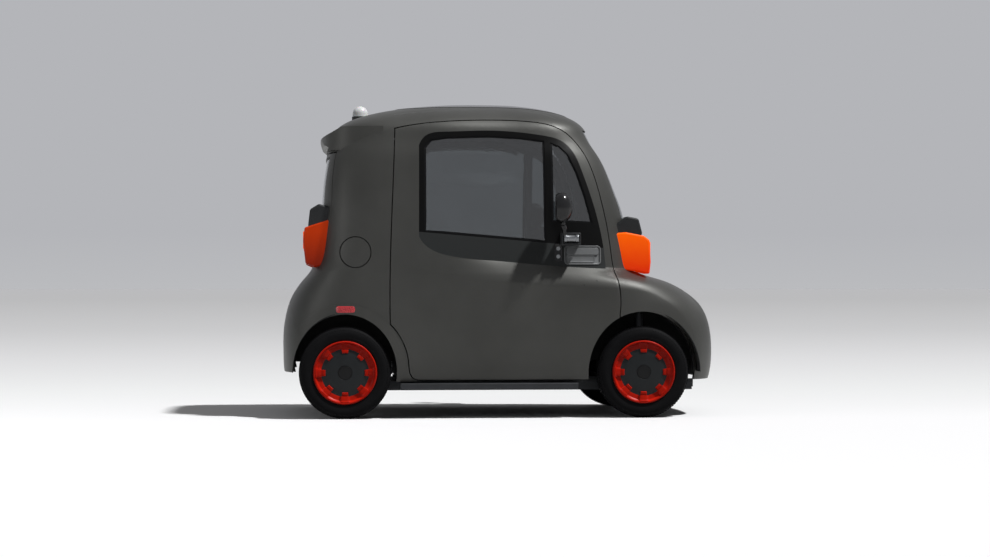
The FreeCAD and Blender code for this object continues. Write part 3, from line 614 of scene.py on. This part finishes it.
# end of the car: direction, body, place across and up, size across and up
LENSES = {"front": (1, "chassis", (0.502, 0.965), (0.100, 0.120)),
          "tail": (-1, nodes["tail_lamp_pods"]["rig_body"], (0.449, 1.035), (0.092, 0.10))}
# A copy of the pods' finish, so the lenses carry the same painted glow.
lens_plastic = lamp_shell.copy()
lens_plastic.name = "ribbed_orange_lens"
tree = lens_plastic.node_tree
place = add(tree, "TexCoord").outputs["Object"]
bands = add(tree, "TexWave", {"bands_direction": "Z", "Scale": math.pi / 20 / RIB_PITCH}, {"Vector": place})
ribs = add(tree, "Bump", {"Strength": 0.8, "Distance": 0.002}, {"Height": bands.outputs["Fac"]})
tree.links.new(ribs.outputs[0], tree.nodes["Principled BSDF"].inputs["Normal"])
for side, name in ((-1, "right"), (1, "left")):
    for node, (end, body, (across, up), (wide, tall)) in LENSES.items():
        low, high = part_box(node + "_lamp_pods")
        face_x = high.x if end > 0 else low.x
        deselect()
        bpy.ops.mesh.primitive_cube_add(size=1.0, location=(face_x - end * LENS_DEEP / 2, side * across, up))
        lens = begin("%s_lens_%s" % (node, name), (LENS_DEEP, wide, tall))
        pick(lens, lambda c: end * (c.x - face_x) > -0.002)
        rings_in((0.006, 0.0), (0.003, -0.003))
        close(lens, lens_plastic, 40, bevelled(0.002, 2))
        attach(lens, body)


# Raised roof panel.
# A gloss-black ABS lid with round corners, bonded over the middle of the roof on a foam seal.
# It stands about 2 mm proud.

LID_REACH, LID_HALF, LID_CORNER, LID_X = 0.520, 0.330, 0.160, -0.100
LID_GAP, LID_WALL = 0.0008, 0.0014
# Gloss ABS: deep black-grey with a hazed, wiped shine.
lid_plastic = patterned("dark_gloss_roof_plastic", ("TexNoise", {"Scale": 5.0, "Detail": 4.0},
                                                    {"tones": ("#272728", "#3b3b3d"), "gloss": (0.16, 0.30)}),
                        Roughness=0.22, Coat_Weight=0.4)
deselect()
bpy.ops.mesh.primitive_grid_add(x_subdivisions=48, y_subdivisions=32, size=1.0, location=(LID_X, 0, 1.95))
lid = begin("raised_roof_panel", (2 * LID_REACH, 2 * LID_HALF, 1))
bpy.ops.object.mode_set(mode="OBJECT")
# The square corners of the grid are drawn in to quarter circles.
for v in lid.data.vertices:
    along = (abs(v.co.x - LID_X) - LID_REACH) / LID_CORNER + 1
    across = (abs(v.co.y) - LID_HALF) / LID_CORNER + 1
    if along > 0 and across > 0:
        reach_x = LID_REACH + LID_CORNER * (along * math.sqrt(1 - across ** 2 / 2) - 1)
        reach_y = LID_HALF + LID_CORNER * (across * math.sqrt(1 - along ** 2 / 2) - 1)
        v.co.x, v.co.y = LID_X + math.copysign(reach_x, v.co.x - LID_X), math.copysign(reach_y, v.co.y)
close(lid, lid_plastic, 35,
      ("SHRINKWRAP", {"wrap_method": "PROJECT", "use_project_z": True, "use_negative_direction": True,
                      "use_positive_direction": False, "target": panels["roof_panel"], "offset": LID_GAP}),
      ("SOLIDIFY", {"thickness": LID_WALL, "offset": 1.0}))
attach(lid, "chassis")


# Door mirrors.
# A round gloss-black shell on a short ball-jointed stalk; a clamp holds it to a bracket on the door's corner
# trim, and its glass lies 3 mm deep in the rear side, inside a narrow rim.

HEAD_AT, HEAD_REACH, GLASS_X = (0.320, -0.762, 1.218), (0.0625, 0.0615, 0.0880), 0.2870
STALK_AT, STALK_LEAN = (0.336, -0.739, 1.104), (math.radians(14), math.radians(-11), 0)
STALK_R, STALK_LONG, BALL_SWELL = 0.0125, 0.095, 1.4
BALL_CUTS = (1.088, 1.094, 1.112, 1.118)
BRACKET_AT, BRACKET_SIZE = (0.379, -0.690, 1.038), (0.114, 0.090, 0.074)
CLAMP_AT, CLAMP_R, CLAMP_LONG, CLAMP_WAIST = (0.379, -0.728, 1.042), 0.0240, 0.084, 0.86
CLAMP_CUTS = (0.3525, 0.3550, 0.4030, 0.4055)
# Gloss-painted ABS: black, with the smears of a wiped shell.
gloss_black = patterned("gloss_black_shell", ("TexNoise", {"Scale": 18.0, "Detail": 4.0},
                                              {"tones": ("#151517", "#242425"), "gloss": (0.16, 0.28)}),
                        Roughness=0.2, Specular_IOR_Level=0.3, Coat_Weight=0.1, Coat_Roughness=0.1)
# Silvered glass: a clean mirror under a thin, uneven dust.
silvered = patterned("silvered_glass", ("TexNoise", {"Scale": 30.0, "Detail": 4.0},
                                        {"tones": ("#c2c7cb", "#d3d7da")}), Metallic=1.0, Roughness=0.03)
# Die-cast zinc: satin grey with the mould's skin, drawn 3 mm coarse so that it shows.
clamp_metal = patterned("satin_die_cast_clamp",
                        ("TexNoise", {"Scale": 1 / 0.003, "Detail": 3.0},
                         {"tones": ("#6d6f71", "#8b8d8f"), "relief": (0.3, 0.0002)}),
                        Metallic=0.9, Roughness=0.34)


def to_both_sides(piece, name, replaced=None, bodies=("door_right", "door_left")):
    """Makes a piece modelled on the right side ride there, and its mirror twin ride on the left."""
    for end, body in zip(("right", "left"), bodies):
        twin = twin_of(piece, name + "_" + end)
        if end == "left":
            twin.scale = (1, -1, 1)
            bpy.ops.object.transform_apply(location=True, rotation=True, scale=True)
            bpy.ops.object.mode_set(mode="EDIT")
            bpy.ops.mesh.select_all(action="SELECT")
            bpy.ops.mesh.flip_normals()
            bpy.ops.object.mode_set(mode="OBJECT")
        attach(twin, body)
        if replaced:
            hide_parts(replaced + end)
    bpy.data.objects.remove(piece)


def cut_at(places, axis):
    """Cuts edge rings through the whole piece at places along an axis."""
    for place in places:
        bpy.ops.mesh.select_all(action="SELECT")
        bpy.ops.mesh.bisect(plane_co=[place * a for a in axis], plane_no=axis)


deselect()
bpy.ops.mesh.primitive_uv_sphere_add(segments=64, ring_count=40, radius=1.0, location=HEAD_AT)
head = begin("mirror_head", HEAD_REACH)
bpy.ops.mesh.bisect(plane_co=(GLASS_X, 0, 0), plane_no=(1, 0, 0), clear_inner=True, use_fill=True)
pick(head, lambda c: c.x < GLASS_X + 0.0002)
rings_in((0.004, 0.0), (0.001, -0.003))
close(head, gloss_black, 40, inlay=(silvered, lambda face: face.area > 0.004))
to_both_sides(head, "mirror_head", "mirror_")

deselect()
bpy.ops.mesh.primitive_cylinder_add(vertices=40, radius=STALK_R, depth=STALK_LONG, location=STALK_AT,
                                    rotation=STALK_LEAN)
stalk = begin("mirror_stalk")
cut_at(BALL_CUTS, (0, 0, 1))
pick(stalk, lambda c: BALL_CUTS[1] - 0.001 < c.z < BALL_CUTS[2] + 0.001, "VERT")
bpy.ops.transform.resize(value=(BALL_SWELL, BALL_SWELL, 1), center_override=STALK_AT)
close(stalk, gloss_black, 40)
to_both_sides(stalk, "mirror_stalk")

deselect()
bpy.ops.mesh.primitive_cube_add(size=1.0, location=BRACKET_AT)
bracket = begin("mirror_bracket", BRACKET_SIZE)
pick(bracket, lambda c: c.y < BRACKET_AT[1] - 0.040)
rings_in((0.014, 0.0), (0.002, -0.010))
close(bracket, black_plastic, 35, bevelled(0.008, 4))
to_both_sides(bracket, "mirror_bracket")

deselect()
bpy.ops.mesh.primitive_cylinder_add(vertices=48, radius=CLAMP_R, depth=CLAMP_LONG, location=CLAMP_AT,
                                    rotation=(0, math.pi / 2, 0))
clamp = begin("mirror_clamp")
cut_at(CLAMP_CUTS, (1, 0, 0))
pick(clamp, lambda c: CLAMP_CUTS[1] - 0.0005 < c.x < CLAMP_CUTS[2] + 0.0005, "VERT")
bpy.ops.transform.resize(value=(1, CLAMP_WAIST, CLAMP_WAIST), center_override=CLAMP_AT)
close(clamp, clamp_metal, 40, bevelled(0.0015, 2))
to_both_sides(clamp, "mirror_clamp")


# Door handles and lock plates.
# A paddle in a rounded bezel, all moulded ABS in the corner trim's grey, with a black lock plate behind it.
# The bezel snaps over the recess in the trim, and two zinc barrels pass through the lock plate.

PADDLE = (0.349, 0.559, 0.894, 0.999)
LOCK = (0.286, 0.334, 0.908, 1.014)
BARREL_X, BARREL_LEVELS = 0.310, (0.938, 0.984)
TRIM_ENDS, TRIM_LEVELS = (0.285, 0.565), (0.887, 1.013)
# Moulded ABS: mid grey, rubbed to a patchy shine where hands reach it.
handle_plastic = patterned("grey_handle_plastic", ("TexNoise", {"Scale": 22.0, "Detail": 5.0},
                                                   {"tones": ("#747677", "#8a8c8d"), "gloss": (0.26, 0.42)}),
                           Roughness=0.34)


def trim_y(x, z):
    """Where the right door's corner trim lies at a point, read just above and below the handle's recess."""
    skins = []
    x = min(max(x, TRIM_ENDS[0]), TRIM_ENDS[1])
    for level in TRIM_LEVELS:
        hit = surrounds["right"].ray_cast(Vector((x, -1.0, level)), Vector((0, 1, 0)))
        if not hit[0]:
            hit = panels["door_panel_right"].ray_cast(Vector((x, -1.0, level)), Vector((0, 1, 0)))
        skins.append(hit[1].y)
    return skins[0] + (skins[1] - skins[0]) * (z - TRIM_LEVELS[0]) / (TRIM_LEVELS[1] - TRIM_LEVELS[0])


def plate(limits, corner, rings, thick, proud, material, skin_y=trim_y):
    """A rounded plate or frame laid on a skin; rings are (inset, depth) steps cut into its face."""
    x0, x1, z0, z1 = limits
    deselect()
    bpy.ops.mesh.primitive_plane_add(size=1.0, location=((x0 + x1) / 2, 0, (z0 + z1) / 2),
                                     rotation=(math.pi / 2, 0, 0))
    piece = begin("plate", (x1 - x0, z1 - z0, 1))
    bpy.ops.mesh.bevel(offset=corner, segments=6, affect="VERTICES")
    cut_at([x0 + (x1 - x0) * part / 8 for part in range(1, 8)], (1, 0, 0))
    bpy.ops.mesh.select_all(action="SELECT")
    bpy.ops.mesh.normals_make_consistent(inside=False)
    push(0, -thick, 0)
    for inset, depth in rings:
        bpy.ops.mesh.inset(thickness=inset, depth=0.0)
        bpy.ops.transform.translate(value=(0, depth, 0))
    bpy.ops.object.mode_set(mode="OBJECT")
    for v in piece.data.vertices:
        v.co.y += skin_y(v.co.x, v.co.z) + thick - proud
    bpy.ops.object.mode_set(mode="EDIT")
    bpy.ops.mesh.select_all(action="SELECT")
    bpy.ops.mesh.normals_make_consistent(inside=False)
    close(piece, material, 40, bevelled(0.0012, 2, angle_limit=math.radians(50)))
    return piece


x0, x1, z0, z1 = PADDLE
bezel = plate((x0 - 0.004, x1 + 0.004, z0 - 0.003, z1 + 0.003), 0.022, [(0.006, 0.0), (0.0015, 0.007)], 0.010,
              0.0030, handle_plastic)
to_both_sides(bezel, "handle_bezel")
upper_bar = plate((x0 + 0.010, x1 - 0.010, z0 + 0.054, z1 - 0.010), 0.012, [(0.003, 0.0)], 0.012, 0.0035,
                  handle_plastic)
to_both_sides(upper_bar, "handle_upper_bar")
paddle = plate((x0 + 0.010, x1 - 0.034, z0 + 0.010, z0 + 0.050), 0.012, [(0.003, 0.0), (0.001, 0.002)], 0.012,
               0.0015, handle_plastic)
to_both_sides(paddle, "handle_paddle")
lock_plate = plate(LOCK, 0.014, [(0.004, 0.0), (0.001, 0.0015)], 0.008, 0.0035, gloss_black)
to_both_sides(lock_plate, "lock_plate")
for level in BARREL_LEVELS:
    skin = trim_y(BARREL_X, level)
    deselect()
    bpy.ops.mesh.primitive_cylinder_add(vertices=32, radius=0.0115, depth=0.012, rotation=(math.pi / 2, 0, 0),
                                        location=(BARREL_X, skin, level))
    barrel = begin("lock_barrel")
    pick(barrel, lambda c: c.y < skin - 0.0055)
    rings_in((0.003, 0.0), (0.0008, -0.002))
    close(barrel, clamp_metal, 40)
    to_both_sides(barrel, "lock_barrel_%d" % round(level * 1000))


# Side markers.
# Red reflex reflectors moulded in PMMA, bonded on each rear quarter above the crown of the wheel arch.
# They stand 3 mm proud.

MARKER = (-0.976, -0.867, 0.612, 0.650)
# Reflex acrylic: clear red with a faint painted glow in its own tones, and corner prisms 5 mm across.
red_pmma, tree, shader, place = finish_of("red_reflex_pmma", Roughness=0.18, Coat_Weight=0.6,
                                          Emission_Strength=0.2)
cells = add(tree, "TexVoronoi", {"Scale": 1 / 0.005}, {"Vector": place})
prism_tone_and_painted_glow = add(tree, "ValToRGB", {"tones": ("#f63d47", "#9a1216")}, {0: cells.outputs["Distance"]})
tree.links.new(prism_tone_and_painted_glow.outputs[0], shader.inputs["Base Color"])
# The prisms' tones also feed the emission: a painted glow.
tree.links.new(prism_tone_and_painted_glow.outputs[0], shader.inputs["Emission Color"])
corner_cube = add(tree, "Bump", {"Strength": 0.5, "Distance": 0.0006}, {"Height": cells.outputs["Distance"]})
tree.links.new(corner_cube.outputs[0], shader.inputs["Normal"])


def quarter_y(x, z):
    """Where the right rear quarter's skin lies at a point."""
    return panels["rear_quarter_right"].ray_cast(Vector((x, -1.0, z)), Vector((0, 1, 0)))[1].y


marker = plate(MARKER, 0.014, [(0.003, 0.0), (0.001, -0.001)], 0.010, 0.0030, red_pmma, quarter_y)
to_both_sides(marker, "side_marker", None, ("chassis", "chassis"))


# Seats.
# Two moulded foam seats in woven grey cloth over a hidden pan: a cushion and a back each, with two sewn
# channels down their middle panels and a raised side roll; they sit on the battery case.

CUSHION = (-0.388, 0.078, 0.422, 0.548)
BACK_DEPTH, BACK_HEIGHT, BACK_LEAN, BACK_FOOT = 0.086, 0.615, math.radians(14), (-0.330, 0.520)
BACK_OUT, BACK_UP = 0.055, 0.320
SEAT_Y, SEAT_HALF, CHANNEL_Y = 0.280, 0.228, 0.105
CHANNEL_DEEP, CHANNEL_WIDE, MIDDLE_DEEP, PUFF_MOST, PUFF_STEPS = 0.009, 0.010, 0.012, 0.012, 20
# Plain-woven polyester: soft and dull, its yarns drawn coarse enough to show, a little faded in patches.
seat_cloth, tree, shader, place = finish_of("woven_seat_cloth", Roughness=0.9, Sheen_Weight=0.3)
weft, warp = (add(tree, "TexWave", {"bands_direction": way, "Scale": 60.0, "Distortion": 0.6},
                  {"Vector": place}) for way in ("X", "Y"))
crossed = add(tree, "Math", {"operation": "MULTIPLY"}, {0: weft.outputs["Fac"], 1: warp.outputs["Fac"]})
yarn = add(tree, "ValToRGB", {"tones": ("#313235", "#54575b")}, {0: crossed.outputs[0]})
faded = add(tree, "TexNoise", {"Scale": 5.0, "Detail": 3.0}, {"Vector": place})
worn = add(tree, "Mix", {"data_type": "RGBA", "blend_type": "OVERLAY", "Factor": 0.3},
           {6: yarn.outputs[0], 7: faded.outputs["Color"]})
tree.links.new(worn.outputs[2], shader.inputs["Base Color"])
weave = add(tree, "Bump", {"Strength": 0.6, "Distance": 0.0006}, {"Height": crossed.outputs[0]})
tree.links.new(weave.outputs[0], shader.inputs["Normal"])
cushion_size = (CUSHION[1] - CUSHION[0], CUSHION[3] - CUSHION[2])
for part, (deep, tall) in (("cushion", cushion_size), ("back", (BACK_DEPTH, BACK_HEIGHT))):
    deselect()
    bpy.ops.mesh.primitive_cube_add(size=1.0)
    pad = begin("seat_" + part, (deep, 2 * SEAT_HALF, tall))
    bpy.ops.object.mode_set(mode="OBJECT")
    rolls = pad.modifiers.new("foam_edges", "BEVEL")
    rolls.width = 0.032
    rolls.segments = 4
    bpy.ops.object.modifier_apply(modifier="foam_edges")
    grid = pad.modifiers.new("even_grid", "REMESH")
    grid.mode = "VOXEL"
    grid.voxel_size = 0.010
    bpy.ops.object.modifier_apply(modifier="even_grid")
    start = [v.co.copy() for v in pad.data.vertices]
    cover = pad.modifiers.new("stuffed_cover", "CLOTH")
    cover.settings.quality = 6
    cover.settings.use_pressure = True
    cover.settings.uniform_pressure_force = 4.0
    cover.settings.effector_weights.gravity = 0.0
    cover.point_cache.frame_start = 1
    cover.point_cache.frame_end = PUFF_STEPS
    for frame_at in range(1, PUFF_STEPS + 1):
        bpy.context.scene.frame_set(frame_at)
    bpy.ops.object.modifier_apply(modifier="stuffed_cover")
    bpy.context.scene.frame_set(1)
    for v, was in zip(pad.data.vertices, start):
        moved = v.co - was
        if moved.length > PUFF_MOST:
            v.co = was + moved * (PUFF_MOST / moved.length)
    seen = 0 if part == "back" else 2
    for v in pad.data.vertices:
        if v.co[seen] > 0.3 * (deep, 0, tall)[seen]:
            gap = abs(abs(v.co.y) - CHANNEL_Y)
            v.co[seen] -= CHANNEL_DEEP * math.exp(-(gap / CHANNEL_WIDE) ** 2)
            v.co[seen] -= MIDDLE_DEEP * max(0.0, 1 - (v.co.y / CHANNEL_Y) ** 2)
    even = pad.modifiers.new("even_cover", "SUBSURF")
    even.levels = 1
    bpy.ops.object.modifier_apply(modifier="even_cover")
    bpy.ops.object.shade_smooth()
    pad.data.materials.append(seat_cloth)
    for side, name in ((-1, "right"), (1, "left")):
        seat = twin_of(pad, "seat_%s_%s" % (part, name))
        if part == "back":
            seat.rotation_euler = (0, -BACK_LEAN, 0)
            back, up = math.sin(BACK_LEAN), math.cos(BACK_LEAN)
            seat.location = (BACK_FOOT[0] - back * BACK_UP - up * BACK_OUT, side * SEAT_Y,
                             BACK_FOOT[1] + up * BACK_UP - back * BACK_OUT)
        else:
            seat.location = ((CUSHION[0] + CUSHION[1]) / 2, side * SEAT_Y, (CUSHION[2] + CUSHION[3]) / 2)
        bpy.ops.object.transform_apply(location=True, rotation=True, scale=True)
        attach(seat, "chassis")
        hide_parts("seats")
    bpy.data.objects.remove(pad)


# Dashboard.
# One moulded grey-black fascia, with a small display pod before the driver and four slatted air vents let in.

POD_AT, POD_SIZE = (0.520, 0.290, 0.948), (0.034, 0.210, 0.088)
VENT_X, VENT_Z, VENT_SIZE, SLATS = 0.449, 0.845, (0.012, 0.120, 0.056), 6
VENTS = {"right": -0.470, "middle_right": -0.090, "middle_left": 0.060, "left": 0.520}
# Soft-touch plastic: dull grey-black with a hide print, 2.5 mm to a cell.
fascia_plastic = patterned("soft_touch_fascia",
                           ("TexVoronoi", {"Scale": 1 / 0.0025},
                            {"tones": ("#2d2e30", "#3a3b3d"), "relief": (0.4, 0.0002)}), Roughness=0.6)
smooth_copy("dashboard", "fascia", fascia_plastic, 35)
deselect()
bpy.ops.mesh.primitive_cube_add(size=1.0, location=POD_AT)
pod = begin("display_pod", POD_SIZE)
pick(pod, lambda c: c.x < POD_AT[0] - 0.016)
rings_in((0.008, 0.0), (0.001, -0.004))
close(pod, fascia_plastic, 40, bevelled(0.004, 3), inlay=(
    gloss_black, lambda face: face.normal.x < -0.9 and 0.002 < face.area < 0.0165 and face.center.x > 0.504))
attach(pod, "chassis")
for vent, at_y in VENTS.items():
    deselect()
    bpy.ops.mesh.primitive_cube_add(size=1.0, location=(VENT_X, at_y, VENT_Z))
    grille = begin("vent_" + vent, VENT_SIZE)
    foot = VENT_Z - VENT_SIZE[2] / 2
    cut_at([foot + VENT_SIZE[2] * slat / SLATS for slat in range(1, SLATS)], (0, 0, 1))
    pick(grille, lambda c: c.x < VENT_X - 0.0055)
    rings_in((0.0018, 0.0), (0.0004, -0.006), use_individual=True)
    bpy.ops.object.mode_set(mode="OBJECT")
    grille.data.materials.append(black_plastic)
    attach(grille, "chassis")


# Steering wheel.
# A steel ring foamed over in polyurethane and wrapped in black leather, on three spokes with a plain padded
# boss; it turns on the tilted column tube.

HUB_AT, COLUMN_TURN, WHEEL_RING = (0.3522, 0.290, 0.8892), math.radians(-62), (0.1755, 0.0142)
BOSS_SIZE, SPOKE_SIZE, SPOKE_LONG, SPOKE_MIDDLE = (0.060, 0.072, 0.020), (0.0075, 0.0150, 1), 0.140, 0.105
# Wrapped hide: black, with a low sheen and grain cells 1.8 mm across.
leather = patterned("black_leather", ("TexVoronoi", {"Scale": 1 / 0.0018},
                                      {"tones": ("#222224", "#323234"), "relief": (0.5, 0.0002)}),
                    Roughness=0.5, Coat_Weight=0.1)
deselect()
bpy.ops.mesh.primitive_torus_add(major_radius=WHEEL_RING[0], minor_radius=WHEEL_RING[1], major_segments=96,
                                 minor_segments=20)
grip = begin("steering_grip")
close(grip, leather, 40)
deselect()
bpy.ops.mesh.primitive_uv_sphere_add(segments=40, ring_count=20, radius=1.0, location=(0, 0, 0.002))
boss = begin("steering_boss", BOSS_SIZE)
bars = []
for turn in (90, 270, 180):
    deselect()
    bpy.ops.mesh.primitive_cylinder_add(vertices=24, radius=1.0, depth=SPOKE_LONG,
                                        rotation=(0, math.pi / 2, 0), location=(SPOKE_MIDDLE, 0, -0.002))
    spoke = begin("steering_spoke", SPOKE_SIZE)
    bpy.ops.object.mode_set(mode="OBJECT")
    spoke.rotation_euler = (0, 0, math.radians(turn))
    bars.append(spoke)
for sides, radius, long, low_by in ((40, 0.030, 0.040, -0.024), (32, 0.0158, 0.095, -0.085)):
    deselect()
    bpy.ops.mesh.primitive_cylinder_add(vertices=sides, radius=radius, depth=long, location=(0, 0, low_by))
    bars.append(bpy.context.object)
deselect()
for piece in bars + [boss]:
    piece.select_set(True)
bpy.context.view_layer.objects.active = boss
bpy.ops.object.join()
close(boss, fascia_plastic, 40)
for piece in (grip, boss):
    deselect()
    piece.select_set(True)
    piece.rotation_euler = (0, COLUMN_TURN, 0)
    piece.location = HUB_AT
    bpy.ops.object.transform_apply(location=True, rotation=True, scale=True)
    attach(piece, "steering_wheel")
    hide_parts("steering_wheel")


# Antenna dome.
# A white UV-stable ASA cap on a black rubber base, screwed through the roof behind the cabin.

low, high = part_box("antenna_dome")
dome_x = (low.x + high.x) / 2
CAP_R, SKIRT, BASE_R, BASE_TALL = 0.046, 0.018, (high.x - low.x) / 2, 0.040
cap_z = high.z - 0.0472
# Weather-proof ASA: clean white, faintly see-through at the rim, with rain marks too fine to feel.
white_asa = patterned("white_asa_cap", ("TexNoise", {"Scale": 40.0, "Detail": 3.0},
                                        {"tones": ("#e6e7e9", "#f7f7f8"), "relief": (0.1, 0.0001)}),
                      Roughness=0.35, Subsurface_Weight=0.1, Subsurface_Scale=0.01)
deselect()
bpy.ops.mesh.primitive_uv_sphere_add(segments=48, ring_count=24, radius=CAP_R, location=(dome_x, 0, cap_z))
dome = begin("antenna_cap")
bpy.ops.mesh.bisect(plane_co=(dome_x, 0, cap_z), plane_no=(0, 0, 1), clear_inner=True)
pick(dome, lambda c: c.z < cap_z + 0.0002, "VERT")
push(0, 0, -SKIRT)
bpy.ops.transform.resize(value=(1.03, 1.03, 1), center_override=(dome_x, 0, cap_z - SKIRT))
bpy.ops.mesh.edge_face_add()
close(dome, white_asa, 50)
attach(dome, "chassis")
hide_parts("antenna_dome")
deselect()
bpy.ops.mesh.primitive_cylinder_add(vertices=48, radius=BASE_R, depth=BASE_TALL,
                                    location=(dome_x, 0, high.z - 0.084))
base = begin("antenna_base")
pick(base, lambda c: c.z > high.z - 0.066)
rings_in((0.003, 0.0))
close(base, black_plastic, 40, bevelled(0.003, 3))
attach(base, "chassis")


# Pane gaskets.
# Black EPDM profile pushed over each pane's edge, 14 mm wide; it is grown from the pane's own edge faces.

# EPDM rubber: black and dull, with a trace of the talc that it was made in.
gasket_rubber = patterned("black_epdm_gasket", ("TexNoise", {"Scale": 60.0, "Detail": 3.0},
                                                {"tones": ("#0c0c0c", "#1f1f21"), "relief": (0.2, 0.0002)}),
                          Roughness=0.45, Specular_IOR_Level=0.1)
for node, outward in (("door_glass_right", (0, -0.004, 0)), ("door_glass_left", (0, 0.004, 0)),
                      ("windscreen", (0.004, 0, 0.001)), ("tailgate_glass", (-0.004, 0, 0))):
    axis = Vector(outward).normalized()
    gasket = twin_of(bpy.data.objects["pane_" + node], "gasket_" + node)
    gasket.data.materials.clear()
    bpy.ops.object.mode_set(mode="EDIT")
    bpy.ops.mesh.select_mode(type="FACE")
    bpy.ops.mesh.select_all(action="DESELECT")
    mesh = bmesh.from_edit_mesh(gasket.data)
    for f in mesh.faces:
        f.select_set(abs(f.normal.dot(axis)) > 0.55 or f.calc_area() > 0.004)
    bmesh.update_edit_mesh(gasket.data)
    bpy.ops.mesh.delete(type="FACE")
    bpy.ops.mesh.select_all(action="SELECT")
    bpy.ops.transform.translate(value=outward)
    close(gasket, gasket_rubber, 30, ("SOLIDIFY", {"thickness": 0.014, "offset": -0.6}))
    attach(gasket, nodes[node]["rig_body"])


# The camera, the floor and the lights.
# A long-lens camera beside the car, a pale seamless floor that runs from white by the car to the backdrop's
# grey, and a high key light from ahead with a weak soft box behind.

CAMERA_AT, CAMERA_TURN = Vector((-1.101, -13.09, 0.761)), math.radians(4.8)
FOCAL_PX, FRAME_WIDE, SENSOR, HORIZON_PX = 2153, 990, 36, 8.5
deselect()
bpy.ops.object.camera_add(location=CAMERA_AT, rotation=(math.pi / 2, 0, -CAMERA_TURN))
camera = bpy.context.object
camera.data.lens = FOCAL_PX * SENSOR / FRAME_WIDE
camera.data.shift_y = HORIZON_PX / FRAME_WIDE
camera.data.clip_end = 1000
bpy.context.scene.camera = camera

# Painted paper: its tone follows how many hundred rows of the picture a place lies below the horizon.
studio, tree, shader, place = finish_of("pale_seamless_floor", Roughness=0.9, Specular_IOR_Level=0.1)
split = add(tree, "SeparateXYZ", links={0: place})
away = add(tree, "Math", {"operation": "SUBTRACT", 1: CAMERA_AT.y}, {0: split.outputs["Y"]})
far_off = add(tree, "Math", {"operation": "ABSOLUTE"}, {0: away.outputs[0]})
row = add(tree, "Math", {"operation": "DIVIDE", 0: FOCAL_PX * CAMERA_AT.z / 100}, {1: far_off.outputs[0]})
near = add(tree, "MapRange", {"From Min": 0.0, "From Max": 2.0}, {0: row.outputs[0]})
paper = add(tree, "TexNoise", {"Scale": 30.0, "Detail": 2.0}, {"Vector": place})
sweep = add(tree, "ValToRGB", {"tones": ("#bababc", "#ffffff")}, {0: near.outputs[0]})
FLOOR_TONES = {0.06: "#bababb", 0.215: "#cacacb", 0.365: "#dfdfe0", 0.515: "#eff0f0", 0.665: "#fdfdfe"}
for at, code in FLOOR_TONES.items():
    sweep.color_ramp.elements.new(at).color = tone(code)
dull = add(tree, "Mix", {"data_type": "RGBA", "blend_type": "OVERLAY", "Factor": 0.02},
           {6: sweep.outputs[0], 7: paper.outputs["Color"]})
# For light bouncing off it the floor turns mid grey, so less light reaches the car's lower sides and
# underside: painted shade on them.
sight = add(tree, "LightPath")
painted_shade_to_bounce = add(tree, "Mix", {"data_type": "RGBA", 7: tone("#595959")},
              {0: sight.outputs["Is Diffuse Ray"], 6: dull.outputs[2]})
tree.links.new(painted_shade_to_bounce.outputs[2], shader.inputs["Base Color"])
deselect()
bpy.ops.mesh.primitive_plane_add(size=1600.0, location=(0, 0, 0))
floor = bpy.context.object
floor.name = "studio_floor"
floor.data.materials.append(studio)

world = bpy.data.worlds.new("studio_air")
bpy.context.scene.world = world
world.use_nodes = True
tree = world.node_tree
sight = add(tree, "LightPath")
ray = add(tree, "TexCoord").outputs["Generated"]
split = add(tree, "SeparateXYZ", links={0: ray})
height = add(tree, "MapRange", {"From Min": -0.05, "From Max": 0.9}, {0: split.outputs["Z"]})
sky = add(tree, "ValToRGB", {"tones": ("#383839", "#737374")}, {0: height.outputs[0]})
glossy = add(tree, "Math", {"operation": "MAXIMUM"},
             {0: sight.outputs["Is Camera Ray"], 1: sight.outputs["Is Glossy Ray"]})
seen_by = add(tree, "Math", {"operation": "MAXIMUM"},
              {0: glossy.outputs[0], 1: sight.outputs["Is Transmission Ray"]})
near_ground = add(tree, "MapRange", {"From Min": 0.0, "From Max": 0.025}, {0: split.outputs["Z"]})
paper_wall = add(tree, "Mix", {"data_type": "RGBA", 6: tone("#babbbe"), 7: tone("#b4b5b9")},
                 {0: near_ground.outputs[0]})
shown = add(tree, "Mix", {"data_type": "RGBA"},
            {0: seen_by.outputs[0], 6: sky.outputs[0], 7: paper_wall.outputs[2]})
tree.links.new(shown.outputs[2], tree.nodes["Background"].inputs["Color"])
bpy.context.scene.view_settings.view_transform = "Standard"

deselect()
bpy.ops.object.light_add(type="SUN", location=(4.8, -1.7, 8.5))
key = bpy.context.object
key.name = "key_light"
key.data.angle = math.radians(3.5)
key.data.energy = 3.2
key.rotation_euler = Vector((-0.485, 0.198, -0.858)).to_track_quat("-Z", "Y").to_euler()

deselect()
bpy.ops.object.light_add(type="AREA", location=(-7.0, -4.0, 2.4))
rear_box = bpy.context.object
rear_box.name = "rear_soft_box"
rear_box.data.size = 2.5
rear_box.data.energy = 45
rear_box.rotation_euler = (Vector((-1.0, 0, 0.9)) - rear_box.location).to_track_quat("-Z", "Y").to_euler()
